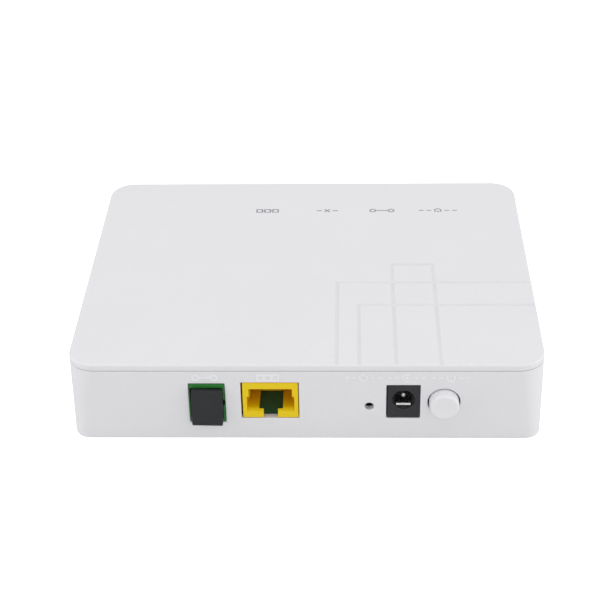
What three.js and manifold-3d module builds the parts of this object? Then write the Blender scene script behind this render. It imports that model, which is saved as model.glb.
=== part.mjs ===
// Optical network terminal: a flat desktop fibre box. One wall carries an optical port with its
// dust cap, a network jack, a reset pinhole, a power jack and a latching power button.
// Millimetres. +X is right seen from the ports, the ports face -Y, +Z is up. The root group moves the
// case frame (z = 0 on the shell's underside) so the origin is below the middle of the whole object.

import * as THREE from "three";
import { mergeVertices } from "three/addons/utils/BufferGeometryUtils.js";
import Module from "manifold-3d";

const wasm = await Module();
wasm.setup();

// ---------------------------------------------------------------- driving dimensions

const CASE = { width: 132, depth: 104, height: 25.5, corner: 7.5, baseCorner: 4.5, wall: 2, floor: 2 };
const SEAM = { z: 23.3, gap: 0.3 };
const EDGE = { top: 0.65, bottom: 0.8 };
const FOOT = { proud: 1, recess: 0.8, radius: 4.5, play: 0.2 };
const BUTTON = { x: 38.25, z: 13.05, radius: 4.125, hole: 4.625, proud: 3, edge: 0.5 };
const POST = { x: 57, y: 43, shellRadius: 4.3, coverRadius: 3.6, splitZ: 10 };
const BOARD = { halfWidth: 51.5, rearGap: 2.3, frontGap: 6.3, bottom: 5.7, top: 7.3 };
const STANDOFF = { x: 46.5, y: 40, radius: 3, hole: 1.15, boardHole: 1.5 };
const RECESS_BEHIND_WALL = 0.2;

const PORT_Y = -CASE.depth / 2;
const FRONT_Y = CASE.depth / 2;
const INNER_PORT_Y = PORT_Y + CASE.wall;
const JACK_FACE_Y = PORT_Y + RECESS_BEHIND_WALL;
const SEAT_GAP = 0.15; // the jacks stand this far above the board, on their solder
const SEAT_Z = BOARD.top + SEAT_GAP;

// The optical adapter, the network jack and the power jack, by the middle and size of their faces.
const OPTIC = { x: -27.45, z: 12.55, width: 9.8, height: 13, depth: 15, cutGap: 0.2 };
const LAN = { x: -9.85, width: 15.5, bottom: SEAT_Z, top: 19.35, depth: 16, cutGap: 0.4 };
const POWER = { x: 27.1, z: 13.6, width: 9, bottom: SEAT_Z, top: 18.4, depth: 14, cutGap: 0.25 };
const RESET = { x: 17.6, z: 11.35, pinhole: 1.25, plunger: 1.7 };

// Indicator windows in the front wall, from the one nearest -X.
const INDICATORS = [
  { name: "lan", x: -14 },
  { name: "signal_loss", x: 5.15 },
  { name: "optical_link", x: 22.65 },
  { name: "power", x: 40.5 },
];
const WINDOW = { z: 12.7, width: 2.7, height: 2.2 };

// Engraved lines on the cover. A line with an x runs along Y, one with a y runs along X.
const OFF_EDGE = 70;
const GROOVE = { width: 1.3, depth: 0.35 };
const GROOVE_LINES = [
  { x: 8.6, from: -OFF_EDGE, to: -9.7 },
  { x: 14.8, from: -OFF_EDGE, to: -21.9 },
  { x: 24.9, from: -OFF_EDGE, to: 0.3 },
  { x: 37.2, from: -OFF_EDGE, to: 0.3 },
  { y: 0.3, from: 24.9, to: 37.2 },
  { y: -9.7, from: 8.6, to: OFF_EDGE },
  { y: -21.9, from: 14.8, to: OFF_EDGE },
];

const SIDE_VENTS = { pitch: 4, count: 13, width: 1.6, low: 12, high: 20 };
const FLOOR_VENTS = { pitch: 4, eachSide: 6, nearestX: 31, width: 1.8 };
const LABEL = { x: 0, y: 12, width: 50, depth: 28, corner: 1.5, pocket: 0.2, thick: 0.15, play: 0.3 };
const KEYHOLE = { x: 30, y: -27, head: 3.6, slotWidth: 3.8, slotLength: 8 };

// ---------------------------------------------------------------- solid helpers

const OVER = 1; // how far a cutting solid runs past the face it opens
const BITE = 0.4; // how far a joined solid reaches into the one it grows from

function solidFrom(geometry) {
  const bare = geometry.index ? geometry.toNonIndexed() : geometry.clone();
  bare.deleteAttribute("normal");
  bare.deleteAttribute("uv");
  const merged = mergeVertices(bare, 1e-4);
  const mesh = new wasm.Mesh({
    numProp: 3,
    vertProperties: merged.attributes.position.array,
    triVerts: new Uint32Array(merged.index.array),
  });
  return new wasm.Manifold(mesh);
}

function join(first, ...others) {
  return others.reduce((whole, other) => whole.add(other), first);
}

function cut(first, ...others) {
  return others.reduce((whole, other) => whole.subtract(other), first);
}

function around(centre, size) {
  return [centre - size / 2, centre + size / 2];
}

function block([x0, x1], [y0, y1], [z0, z1]) {
  const geometry = new THREE.BoxGeometry(x1 - x0, y1 - y0, z1 - z0);
  geometry.translate((x0 + x1) / 2, (y0 + y1) / 2, (z0 + z1) / 2);
  return solidFrom(geometry);
}

function rodZ(x, y, radius, [z0, z1], segments = 20) {
  const geometry = new THREE.CylinderGeometry(radius, radius, z1 - z0, segments);
  geometry.rotateX(Math.PI / 2);
  geometry.translate(x, y, (z0 + z1) / 2);
  return solidFrom(geometry);
}

function rodY(x, z, radius, [y0, y1], segments = 20) {
  const geometry = new THREE.CylinderGeometry(radius, radius, y1 - y0, segments);
  geometry.translate(x, (y0 + y1) / 2, z);
  return solidFrom(geometry);
}

function rodX(y, z, radius, [x0, x1], segments = 20) {
  const geometry = new THREE.CylinderGeometry(radius, radius, x1 - x0, segments);
  geometry.rotateZ(Math.PI / 2);
  geometry.translate((x0 + x1) / 2, y, z);
  return solidFrom(geometry);
}

// A solid of revolution about a line along Y. Each profile point is [radius, y].
function turnedY(x, z, profile, segments = 24) {
  const points = profile.map(([radius, y]) => new THREE.Vector2(radius, y));
  const geometry = new THREE.LatheGeometry(points, segments);
  geometry.translate(x, 0, z);
  return solidFrom(geometry);
}

function roundedRectangle(width, height, radius, x = 0, y = 0) {
  const shape = new THREE.Shape();
  const dx = width / 2 - radius;
  const dy = height / 2 - radius;
  const quarter = Math.PI / 2;
  shape.absarc(x + dx, y - dy, radius, -quarter, 0);
  shape.absarc(x + dx, y + dy, radius, 0, quarter);
  shape.absarc(x - dx, y + dy, radius, quarter, 2 * quarter);
  shape.absarc(x - dx, y - dy, radius, 2 * quarter, 3 * quarter);
  shape.closePath();
  return shape;
}

function plate(shape, [z0, z1], segments = 6) {
  const options = { depth: z1 - z0, bevelEnabled: false, curveSegments: segments };
  const geometry = new THREE.ExtrudeGeometry(shape, options);
  geometry.translate(0, 0, z0);
  return solidFrom(geometry);
}

// A plate whose two rims are rolled over by an edge radius, keeping the outline's full size.
function rolledPlate(shape, [z0, z1], edge, edgeSegments, reshape = (geometry) => geometry) {
  const options = {
    depth: z1 - z0 - 2 * edge,
    bevelEnabled: true,
    bevelThickness: edge,
    bevelSize: edge,
    bevelOffset: -edge,
    bevelSegments: edgeSegments,
    curveSegments: 6,
  };
  const geometry = new THREE.ExtrudeGeometry(shape, options);
  geometry.translate(0, 0, z0 + edge);
  return solidFrom(reshape(geometry));
}

// A flat strip bent in the YZ plane: the outline's points are [y, z], and it is width wide along X.
function strip(outline, x, width) {
  const shape = new THREE.Shape(outline.map(([y, z]) => new THREE.Vector2(y, z)));
  const geometry = new THREE.ExtrudeGeometry(shape, { depth: width, bevelEnabled: false });
  const turn = new THREE.Matrix4().makeBasis(
    new THREE.Vector3(0, 1, 0),
    new THREE.Vector3(0, 0, 1),
    new THREE.Vector3(1, 0, 0),
  );
  geometry.applyMatrix4(turn);
  geometry.translate(x - width / 2, 0, 0);
  return solidFrom(geometry);
}

function corners(x, y) {
  return [
    { name: "rear_left", x: -x, y: -y },
    { name: "rear_right", x: x, y: -y },
    { name: "front_left", x: -x, y: y },
    { name: "front_right", x: x, y: y },
  ];
}

// ---------------------------------------------------------------- materials

function plastic(color, roughness = 0.5) {
  return new THREE.MeshStandardMaterial({ color, roughness, metalness: 0, flatShading: true });
}

function metal(color, roughness = 0.3) {
  return new THREE.MeshStandardMaterial({ color, roughness, metalness: 1, flatShading: true });
}

function clear(color) {
  const options = { color, roughness: 0.1, metalness: 0, transparent: true, opacity: 0.4 };
  return new THREE.MeshStandardMaterial(options);
}

const WHITE = plastic(0xe6e6e8);
const RUBBER = plastic(0x4a4a4c, 0.9);
const BLACK = plastic(0x2c2c2f, 0.55);
const DARK_GREY = plastic(0x3a3a3c, 0.6);
const YELLOW = plastic(0xdcc81e, 0.45);
const GREEN = plastic(0x2e7d3a, 0.45);
const BOARD_GREEN = plastic(0x193c28, 0.5);
const CERAMIC = plastic(0xf0efe8, 0.2);
const PAPER = plastic(0xececea, 0.8);
const PAD_GREY = plastic(0x9aa0a6, 0.9);
const GUIDE = clear(0xf4f8fa);
const LAMP = clear(0xf2f0d0);
const STEEL = metal(0xb8babd);
const GOLD = metal(0xd6b25a);
const ALUMINIUM = metal(0xc4c6c9, 0.35);

const device = new THREE.Group();

function addPiece(name, solid, material) {
  const { vertProperties, triVerts } = solid.getMesh();
  const geometry = new THREE.BufferGeometry();
  geometry.setAttribute("position", new THREE.BufferAttribute(vertProperties, 3));
  geometry.setIndex(new THREE.BufferAttribute(triVerts, 1));
  geometry.computeVertexNormals();
  const mesh = new THREE.Mesh(geometry, material);
  mesh.name = name;
  device.add(mesh);
}

// ---------------------------------------------------------------- shell and cover

function caseOutline(inset) {
  const width = CASE.width - 2 * inset;
  const depth = CASE.depth - 2 * inset;
  return roundedRectangle(width, depth, CASE.corner - inset);
}

// Tightens an extruded case's corners from the seam down to the base. A corner's centre moves out along
// its diagonal by as much as its radius shrinks, so that the flat walls stay where they are.
function tightenCorners(geometry) {
  const near = 1e-6;
  const place = geometry.getAttribute("position");
  for (let i = 0; i < place.count; i++) {
    const point = new THREE.Vector2(place.getX(i), place.getY(i));
    const side = new THREE.Vector2(Math.sign(point.x), Math.sign(point.y));
    const centre = new THREE.Vector2(CASE.width / 2 - CASE.corner, CASE.depth / 2 - CASE.corner);
    const reach = point.clone().multiply(side).sub(centre);
    if (reach.x < -near || reach.y < -near) continue;
    const share = 1 - Math.min(1, place.getZ(i) / SEAM.z);
    const shrink = (CASE.corner - CASE.baseCorner) * share;
    reach.setLength(reach.length() - shrink);
    const moved = centre.addScalar(shrink).add(reach).multiply(side);
    place.setXY(i, moved.x, moved.y);
  }
  return geometry;
}

function throughPortWall([x0, x1], [z0, z1]) {
  return block([x0, x1], [PORT_Y - OVER, INNER_PORT_Y + OVER], [z0, z1]);
}

function portOpenings() {
  const wallSpan = [PORT_Y - OVER, INNER_PORT_Y + OVER];
  return [
    throughPortWall(
      around(OPTIC.x, OPTIC.width + 2 * OPTIC.cutGap),
      around(OPTIC.z, OPTIC.height + 2 * OPTIC.cutGap),
    ),
    throughPortWall(
      around(LAN.x, LAN.width + 2 * LAN.cutGap),
      [LAN.bottom - LAN.cutGap / 2, LAN.top + LAN.cutGap / 2],
    ),
    throughPortWall(
      around(POWER.x, POWER.width + 2 * POWER.cutGap),
      [POWER.bottom - POWER.cutGap, POWER.top + POWER.cutGap],
    ),
    rodY(RESET.x, RESET.z, RESET.pinhole, wallSpan, 16),
    rodY(BUTTON.x, BUTTON.z, BUTTON.hole, wallSpan, 32),
  ];
}

function indicatorWindows() {
  const wallSpan = [FRONT_Y - CASE.wall - OVER, FRONT_Y + OVER];
  return INDICATORS.map(({ x }) =>
    block(around(x, WINDOW.width), wallSpan, around(WINDOW.z, WINDOW.height)),
  );
}

// Evenly spaced places, in a row with its middle at zero.
function spaced(count, pitch) {
  return Array.from({ length: count }, (_, i) => (i - (count - 1) / 2) * pitch);
}

function sideVents() {
  const { pitch, count, width, low, high } = SIDE_VENTS;
  const wholeWidth = [-CASE.width / 2 - OVER, CASE.width / 2 + OVER];
  return spaced(count, pitch).map((y) => block(wholeWidth, around(y, width), [low, high]));
}

function floorVents() {
  const { pitch, eachSide, nearestX, width } = FLOOR_VENTS;
  const floorSpan = [-OVER, CASE.floor + OVER];
  const columns = Array.from({ length: eachSide }, (_, i) => nearestX + i * pitch);
  const slot = (x) => block(around(x, width), around(LABEL.y, LABEL.depth), floorSpan);
  return columns.flatMap((x) => [slot(x), slot(-x)]);
}

function keyholes() {
  const { x, y, head, slotWidth, slotLength } = KEYHOLE;
  const floorSpan = [-OVER, CASE.floor + OVER];
  return [-x, x].map((holeX) =>
    join(
      rodZ(holeX, y, head, floorSpan),
      block(around(holeX, slotWidth), [y, y + slotLength], floorSpan),
    ),
  );
}

const SCREW_SEAT_Z = 3.4;
const CASE_SCREW = { tip: 17, shank: 1.4, head: 2.8, headHeight: 1.9 };
const BOARD_SCREW = { tip: 3, shank: 1.05, head: 2.3, headHeight: 1.5 };

function cornerBosses() {
  return corners(POST.x, POST.y).map(({ x, y }) =>
    rodZ(x, y, POST.shellRadius, [CASE.floor / 2, POST.splitZ], 24),
  );
}

function cornerScrewHoles() {
  const headPlay = 0.3;
  const shankPlay = 0.2;
  return corners(POST.x, POST.y).flatMap(({ x, y }) => [
    rodZ(x, y, FOOT.radius + FOOT.play, [-OVER, FOOT.recess], 24),
    rodZ(x, y, CASE_SCREW.head + headPlay, [-OVER, SCREW_SEAT_Z]),
    rodZ(x, y, CASE_SCREW.shank + shankPlay, [0, POST.splitZ + OVER], 16),
  ]);
}

function standoffs() {
  const span = [CASE.floor / 2, BOARD.bottom];
  const pilot = [BOARD_SCREW.tip - BITE, BOARD.bottom + OVER];
  return corners(STANDOFF.x, STANDOFF.y).map(({ x, y }) =>
    cut(rodZ(x, y, STANDOFF.radius, span, 16), rodZ(x, y, STANDOFF.hole, pilot, 12)),
  );
}

function bottomShell() {
  const aboveSeam = block(
    [-OFF_EDGE, OFF_EDGE],
    [-OFF_EDGE, OFF_EDGE],
    [SEAM.z, CASE.height + OVER],
  );
  const pastSeam = SEAM.z + EDGE.bottom; // the top rim's rounding starts at the seam, and is cut away
  const outside = rolledPlate(caseOutline(0), [0, pastSeam], EDGE.bottom, 1, tightenCorners);
  const hollow = plate(caseOutline(CASE.wall), [CASE.floor, CASE.height + OVER]);
  const labelPocket = block(
    around(LABEL.x, LABEL.width + 2 * LABEL.play),
    around(LABEL.y, LABEL.depth + 2 * LABEL.play),
    [-OVER, LABEL.pocket],
  );
  const tub = join(cut(outside, aboveSeam, hollow), ...cornerBosses(), ...standoffs());
  return cut(
    tub,
    labelPocket,
    ...cornerScrewHoles(),
    ...portOpenings(),
    ...indicatorWindows(),
    ...sideVents(),
    ...floorVents(),
    ...keyholes(),
  );
}

function grooves() {
  const depthSpan = [CASE.height - GROOVE.depth, CASE.height + OVER];
  const half = GROOVE.width / 2;
  return GROOVE_LINES.map(({ x, y, from, to }) =>
    x === undefined
      ? block([from - half, to + half], around(y, GROOVE.width), depthSpan)
      : block(around(x, GROOVE.width), [from - half, to + half], depthSpan),
  );
}

function topCover() {
  const underside = SEAM.z + SEAM.gap;
  const lipInset = CASE.wall + 0.3;
  const lipThickness = 1.2;
  const lipDrop = 2.2;
  const pilot = { radius: 1.5, top: underside - 3 };
  const belowSeam = block([-OFF_EDGE, OFF_EDGE], [-OFF_EDGE, OFF_EDGE], [-OVER, underside]);
  const lid = cut(rolledPlate(caseOutline(0), [0, CASE.height], EDGE.top, 2), belowSeam);
  const lip = cut(
    plate(caseOutline(lipInset), [underside - lipDrop, underside + BITE]),
    plate(caseOutline(lipInset + lipThickness), [underside - lipDrop - OVER, underside + BITE]),
  );
  const posts = corners(POST.x, POST.y).map(({ x, y }) =>
    cut(
      rodZ(x, y, POST.coverRadius, [POST.splitZ, underside + BITE]),
      rodZ(x, y, pilot.radius, [POST.splitZ - OVER, pilot.top], 12),
    ),
  );
  return cut(join(lid, lip, ...posts), ...grooves());
}

function foot(x, y) {
  const edge = 0.4;
  const lowest = -FOOT.proud;
  return join(
    rodZ(x, y, FOOT.radius, [lowest + edge, FOOT.recess], 24),
    rodZ(x, y, FOOT.radius - edge, [lowest, FOOT.recess / 2], 24),
  );
}

// A cross-head screw along Z: its head lies on the far side of seatZ from the shank's tip.
function screw(x, y, seatZ, { tip, shank, head, headHeight }) {
  const way = Math.sign(tip - seatZ);
  const headTop = seatZ - way * headHeight;
  const crossWidth = 0.6;
  const ordered = (a, b) => [Math.min(a, b), Math.max(a, b)];
  const recess = ordered(headTop - way * OVER, headTop + (way * headHeight) / 2);
  return cut(
    join(
      rodZ(x, y, head, ordered(headTop, seatZ), 16),
      rodZ(x, y, shank, ordered(seatZ - way * BITE, tip), 12),
    ),
    block(around(x, head), around(y, crossWidth), recess),
    block(around(x, crossWidth), around(y, head), recess),
  );
}

function ratingLabel() {
  const outline = roundedRectangle(LABEL.width, LABEL.depth, LABEL.corner, LABEL.x, LABEL.y);
  return plate(outline, [LABEL.pocket - LABEL.thick, LABEL.pocket], 3);
}

// ---------------------------------------------------------------- optical port

const OPTIC_MOUTH = { width: 8.9, height: 10.3, depth: 0.6 };
const OPTIC_CAVITY = { width: 7.9, height: 9.3, depth: 11.5 };
const KEY_SLOT = { z: 12.75, height: 1.9, depth: 8, bite: 0.5 };
const SLEEVE = { outer: 1.6, inner: 1.25, front: -46.5, rear: -37.3, play: 0.1 };

function opticAdapter() {
  const faceY = PORT_Y;
  const rearY = faceY + OPTIC.depth;
  const keyX = [
    OPTIC.x + OPTIC_CAVITY.width / 2 - KEY_SLOT.bite,
    OPTIC.x + OPTIC.width / 2 + OVER,
  ];
  return cut(
    block(around(OPTIC.x, OPTIC.width), [faceY, rearY], around(OPTIC.z, OPTIC.height)),
    block(
      around(OPTIC.x, OPTIC_MOUTH.width),
      [faceY - OVER, faceY + OPTIC_MOUTH.depth],
      around(OPTIC.z, OPTIC_MOUTH.height),
    ),
    block(
      around(OPTIC.x, OPTIC_CAVITY.width),
      [faceY, faceY + OPTIC_CAVITY.depth],
      around(OPTIC.z, OPTIC_CAVITY.height),
    ),
    block(keyX, [faceY - OVER, faceY + KEY_SLOT.depth], around(KEY_SLOT.z, KEY_SLOT.height)),
    rodY(
      OPTIC.x,
      OPTIC.z,
      SLEEVE.outer + SLEEVE.play,
      [faceY + OPTIC.depth / 2, rearY + OVER],
      16,
    ),
  );
}

const CAP = { x: -27.55, z: 11.55, width: 8.9, height: 11.7, proud: 1.4, gap: 0.1 };
const CAP_PLUG = { depth: 9, play: 0.25, bore: 2.6, boreStart: 2 };

// The dust cap: a flat head over the adapter's face, and a hollow plug that clears the sleeve.
function dustCap() {
  const backY = PORT_Y - CAP.gap;
  const plugRearY = backY + CAP_PLUG.depth;
  const head = block(
    around(CAP.x, CAP.width),
    [PORT_Y - CAP.proud, backY],
    around(CAP.z, CAP.height),
  );
  const plug = block(
    around(OPTIC.x, OPTIC_CAVITY.width - 2 * CAP_PLUG.play),
    [backY - BITE, plugRearY],
    around(OPTIC.z, OPTIC_CAVITY.height - 2 * CAP_PLUG.play),
  );
  const boreY = [backY + CAP_PLUG.boreStart, plugRearY + OVER];
  const bore = rodY(OPTIC.x, OPTIC.z, CAP_PLUG.bore, boreY, 16);
  return cut(join(head, plug), bore);
}

function ferruleSleeve() {
  const ends = [SLEEVE.front, SLEEVE.rear];
  const bore = [SLEEVE.front - OVER, SLEEVE.rear + OVER];
  return cut(
    rodY(OPTIC.x, OPTIC.z, SLEEVE.outer, ends, 16),
    rodY(OPTIC.x, OPTIC.z, SLEEVE.inner, bore, 16),
  );
}

const MODULE = { front: PORT_Y + OPTIC.depth + 0.1, neck: 3, body: 8, radius: 3.3, half: 3.6 };

function opticalModule() {
  const bodyY = MODULE.front + MODULE.neck;
  return join(
    rodY(OPTIC.x, OPTIC.z, MODULE.radius, [MODULE.front, bodyY + BITE]),
    block(
      around(OPTIC.x, 2 * MODULE.half),
      [bodyY, bodyY + MODULE.body],
      around(OPTIC.z, 2 * MODULE.half),
    ),
  );
}

const CAN = { radius: 2.3, length: 2.6, flange: 2.8, flangeLength: 1.2 };

function laserCan() {
  const start = MODULE.front + MODULE.neck + MODULE.body;
  const step = start + CAN.length;
  const end = step + CAN.flangeLength;
  return join(
    rodY(OPTIC.x, OPTIC.z, CAN.radius, [start, step]),
    rodY(OPTIC.x, OPTIC.z, CAN.flange, [step - BITE, end]),
  );
}

function photodiodeCan() {
  const y = MODULE.front + MODULE.neck + MODULE.body / 2;
  const start = OPTIC.x + MODULE.half;
  const step = start + CAN.length;
  const end = step + CAN.flangeLength;
  return join(
    rodX(y, OPTIC.z, CAN.radius, [start, step]),
    rodX(y, OPTIC.z, CAN.flange, [step - BITE, end]),
  );
}

// ---------------------------------------------------------------- network jack

const LAN_FACE_Y = JACK_FACE_Y;
const LAN_MOUTH = { width: 12, floor: 10.2, roof: 17.1, depth: 12.5 };
const LAN_SIDE_STEP = { extra: 0.5, top: 14.5, depth: 5 };
const LAN_TAB_SLOT = 4;
const LAN_LATCH_CHANNEL = { width: 6.7, lip: 0.8 };
const LAN_ROOF_GROOVE = { front: 1.2, depth: 0.8 };
const CONTACT = { pitch: 1.02, width: 0.4, count: 8, thick: 0.3, rise: 0.7, bend: 2, tip: 9.5 };

function lanHousing() {
  const face = LAN_FACE_Y;
  const rear = face + LAN.depth;
  const mouthRear = face + LAN_MOUTH.depth;
  return cut(
    block(around(LAN.x, LAN.width), [face, rear], [LAN.bottom, LAN.top]),
    block(
      around(LAN.x, LAN_MOUTH.width),
      [face - OVER, mouthRear],
      [LAN_MOUTH.floor, LAN_MOUTH.roof],
    ),
    block(
      around(LAN.x, LAN_MOUTH.width + 2 * LAN_SIDE_STEP.extra),
      [face - OVER, face + LAN_SIDE_STEP.depth],
      [LAN_MOUTH.floor, LAN_SIDE_STEP.top],
    ),
    block(
      around(LAN.x, LAN_TAB_SLOT),
      [face - OVER, face + LAN_LATCH_CHANNEL.lip + OVER],
      [LAN.bottom - OVER, LAN_MOUTH.floor + OVER],
    ),
    block(
      around(LAN.x, LAN_LATCH_CHANNEL.width),
      [face + LAN_LATCH_CHANNEL.lip, mouthRear],
      [LAN.bottom - OVER, LAN_MOUTH.floor + OVER],
    ),
    block(
      around(LAN.x, CONTACT.pitch * CONTACT.count),
      [face + LAN_ROOF_GROOVE.front, rear + OVER],
      [LAN_MOUTH.roof - OVER, LAN_MOUTH.roof + LAN_ROOF_GROOVE.depth],
    ),
  );
}

// One spring wire: it lies in the roof groove and bends down into the mouth at a slant.
function lanContact(x) {
  const roof = LAN_MOUTH.roof;
  const { thick, rise } = CONTACT;
  const rear = LAN_FACE_Y + LAN.depth - 0.2;
  const bend = LAN_FACE_Y + CONTACT.bend;
  const tip = LAN_FACE_Y + CONTACT.tip;
  const drop = 2.2;
  const nose = 0.5;
  const outline = [
    [rear, roof + rise],
    [bend, roof + rise],
    [bend - nose, roof + rise / 2],
    [bend, roof],
    [tip, roof - drop],
    [tip + 0.1, roof - drop + thick],
    [bend + nose, roof + rise - thick],
    [rear, roof + rise - thick],
  ];
  return strip(outline.reverse(), x, CONTACT.width);
}

// ---------------------------------------------------------------- power jack

const POWER_BORE = { radius: 3.15, rear: -41.5 };
const POWER_PIN = { radius: 1, tip: -49.9, tail: -37.6 };
const POWER_LEAF = { front: -50.7, rear: -42, width: 4.1, low: 11.28, high: 11.6 };

// A square flange with a narrower body behind it, bored for the plug and hollow under the leaf.
function powerJackHousing() {
  const { x, z, width, bottom, top } = POWER;
  const flangeRear = JACK_FACE_Y + 3.4;
  const rear = JACK_FACE_Y + POWER.depth;
  const body = { width: width - 0.8, top: z + 4.2 };
  const tunnel = { width: POWER_LEAF.width + 0.3, rear: rear - 1.5 };
  const tunnelZ = [bottom + 1.2, POWER_LEAF.high + 0.1];
  const pinHole = POWER_PIN.radius + 0.1;
  return cut(
    join(
      block(around(x, width), [JACK_FACE_Y, flangeRear], [bottom, top]),
      block(around(x, body.width), [flangeRear - BITE, rear], [bottom, body.top]),
    ),
    rodY(x, z, POWER_BORE.radius, [JACK_FACE_Y - OVER, POWER_BORE.rear], 28),
    rodY(x, z, pinHole, [POWER_BORE.rear - OVER, rear + OVER], 12),
    block(around(x, tunnel.width), [flangeRear, tunnel.rear], tunnelZ),
  );
}

function powerJackPin() {
  const { radius, tip, tail } = POWER_PIN;
  return turnedY(
    POWER.x,
    POWER.z,
    [
      [0, tip],
      [radius * 0.6, tip + radius * 0.2],
      [radius, tip + radius * 0.9],
      [radius, tail],
      [0, tail],
    ],
    16,
  );
}

// The sleeve contact: a leaf along the bottom of the bore, with a tail folded down behind it.
function powerJackSpring() {
  const { front, rear, width, low, high } = POWER_LEAF;
  const tailZ = POWER.bottom + 1.6;
  const tailFront = rear - (high - low);
  const outline = [
    [front, low],
    [tailFront, low],
    [tailFront, tailZ],
    [rear, tailZ],
    [rear, high],
    [front, high],
  ];
  return strip(outline, POWER.x, width);
}

// ---------------------------------------------------------------- power button and switches

const SWITCH = { front: -46, rear: -35, width: 8.4, top: 17.2, channel: 3.4, channelEnd: 1.6 };
const STEM = { size: 3, front: -52.5, rear: -40, play: 0.1 };
const BUTTON_REAR_Y = -48.9;

function buttonCap() {
  const { x, z, radius, proud, edge } = BUTTON;
  const faceY = PORT_Y - proud;
  const shank = turnedY(
    x,
    z,
    [
      [0, faceY],
      [radius - edge, faceY],
      [radius, faceY + edge],
      [radius, BUTTON_REAR_Y],
      [0, BUTTON_REAR_Y],
    ],
    32,
  );
  const socket = STEM.size + 2 * STEM.play;
  const socketY = [STEM.front - 2 * STEM.play, BUTTON_REAR_Y + OVER];
  return cut(shank, block(around(x, socket), socketY, around(z, socket)));
}

function switchStem() {
  const { size, front, rear } = STEM;
  return block(around(BUTTON.x, size), [front, rear], around(BUTTON.z, size));
}

function switchBody() {
  const { front, rear, width, top, channel, channelEnd } = SWITCH;
  const channelY = [front - OVER, rear - channelEnd];
  return cut(
    block(around(BUTTON.x, width), [front, rear], [SEAT_Z, top]),
    block(around(BUTTON.x, channel), channelY, around(BUTTON.z, channel)),
  );
}

const RESET_BODY = { front: -45.5, rear: -41.5, width: 6.2, top: 15.2, play: 0.1 };
const RESET_STEM = { front: -48.6, rear: -43, travelRoom: 0.5 };

function resetBody() {
  const { front, rear, width, top, play } = RESET_BODY;
  const wellY = [front - OVER, RESET_STEM.rear + RESET_STEM.travelRoom];
  return cut(
    block(around(RESET.x, width), [front, rear], [SEAT_Z, top]),
    rodY(RESET.x, RESET.z, RESET.plunger + play, wellY),
  );
}

function resetPlunger() {
  return rodY(RESET.x, RESET.z, RESET.plunger, [RESET_STEM.front, RESET_STEM.rear]);
}

// ---------------------------------------------------------------- board and what it carries

function mainBoard() {
  const span = [BOARD.bottom, BOARD.top];
  const through = [BOARD.bottom - OVER, BOARD.top + OVER];
  const rearY = PORT_Y + BOARD.rearGap;
  const frontY = FRONT_Y - BOARD.frontGap;
  const notch = { width: OPTIC.width + 1.4, rear: PORT_Y + OPTIC.depth + 0.5 };
  return cut(
    block([-BOARD.halfWidth, BOARD.halfWidth], [rearY, frontY], span),
    block(around(OPTIC.x, notch.width), [rearY - OVER, notch.rear], through),
    ...corners(STANDOFF.x, STANDOFF.y).map(({ x, y }) =>
      rodZ(x, y, STANDOFF.boardHole, through, 12),
    ),
  );
}

// A boxy component that stands on the board, by its middle and its size.
function onBoard(x, y, width, depth, height, lift = 0) {
  const span = [BOARD.top + lift, BOARD.top + lift + height];
  return block(around(x, width), around(y, depth), span);
}

function canOnBoard(x, y, radius, height) {
  const base = { size: 2 * radius + 0.3, height: 0.8 };
  return join(
    onBoard(x, y, base.size, base.size, base.height),
    rodZ(x, y, radius, [BOARD.top + base.height - BITE, BOARD.top + height]),
  );
}

const PROCESSOR = { x: -4, y: 4, size: 14, height: 1.2, pad: 0.5 };
const HEATSINK = { size: 22, base: 1.6, height: 8, fins: 6, fin: 1.2 };

function heatsink() {
  const { x, y } = PROCESSOR;
  const lift = PROCESSOR.height + PROCESSOR.pad;
  const whole = onBoard(x, y, HEATSINK.size, HEATSINK.size, HEATSINK.height, lift);
  const pitch = (HEATSINK.size - HEATSINK.fin) / (HEATSINK.fins - 1);
  const floor = BOARD.top + lift + HEATSINK.base;
  const gaps = spaced(HEATSINK.fins - 1, pitch).map((dx) =>
    block(
      around(x + dx, pitch - HEATSINK.fin),
      around(y, HEATSINK.size + 2 * OVER),
      [floor, floor + HEATSINK.height],
    ),
  );
  return cut(whole, ...gaps);
}

const LED = { y: 43.5, width: 2, depth: 1.25, height: 0.8 };
const GUIDE_BAR = { size: 2.4, tie: 1.2, bottom: BOARD.top + 1.2, endGap: 0.1, play: 0.15 };

// One clear moulding: a leg above each lamp, turned towards its window, and a bar that ties them.
function lightGuide() {
  const half = GUIDE_BAR.size / 2;
  const legY = [LED.y - half, LED.y + half];
  const fingerZ = around(WINDOW.z, WINDOW.height - 2 * GUIDE_BAR.play);
  const fingers = INDICATORS.flatMap(({ x }) => [
    block(around(x, GUIDE_BAR.size), legY, [GUIDE_BAR.bottom, fingerZ[1]]),
    block(around(x, GUIDE_BAR.size), [LED.y, FRONT_Y - GUIDE_BAR.endGap], fingerZ),
  ]);
  const ends = [INDICATORS[0].x, INDICATORS[INDICATORS.length - 1].x];
  const bar = block(ends, legY, around(WINDOW.z, GUIDE_BAR.tie));
  return join(bar, ...fingers);
}

const HEADER = { x: -38, y: 28, pins: 4, pitch: 2.54, pin: 0.64, pinHeight: 8.5 };

function serialHeader() {
  const { x, y, pins, pitch, pin, pinHeight } = HEADER;
  const base = onBoard(x, y, pins * pitch, pitch, pitch);
  return join(base, ...spaced(pins, pitch).map((dx) => onBoard(x + dx, y, pin, pin, pinHeight)));
}

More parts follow.
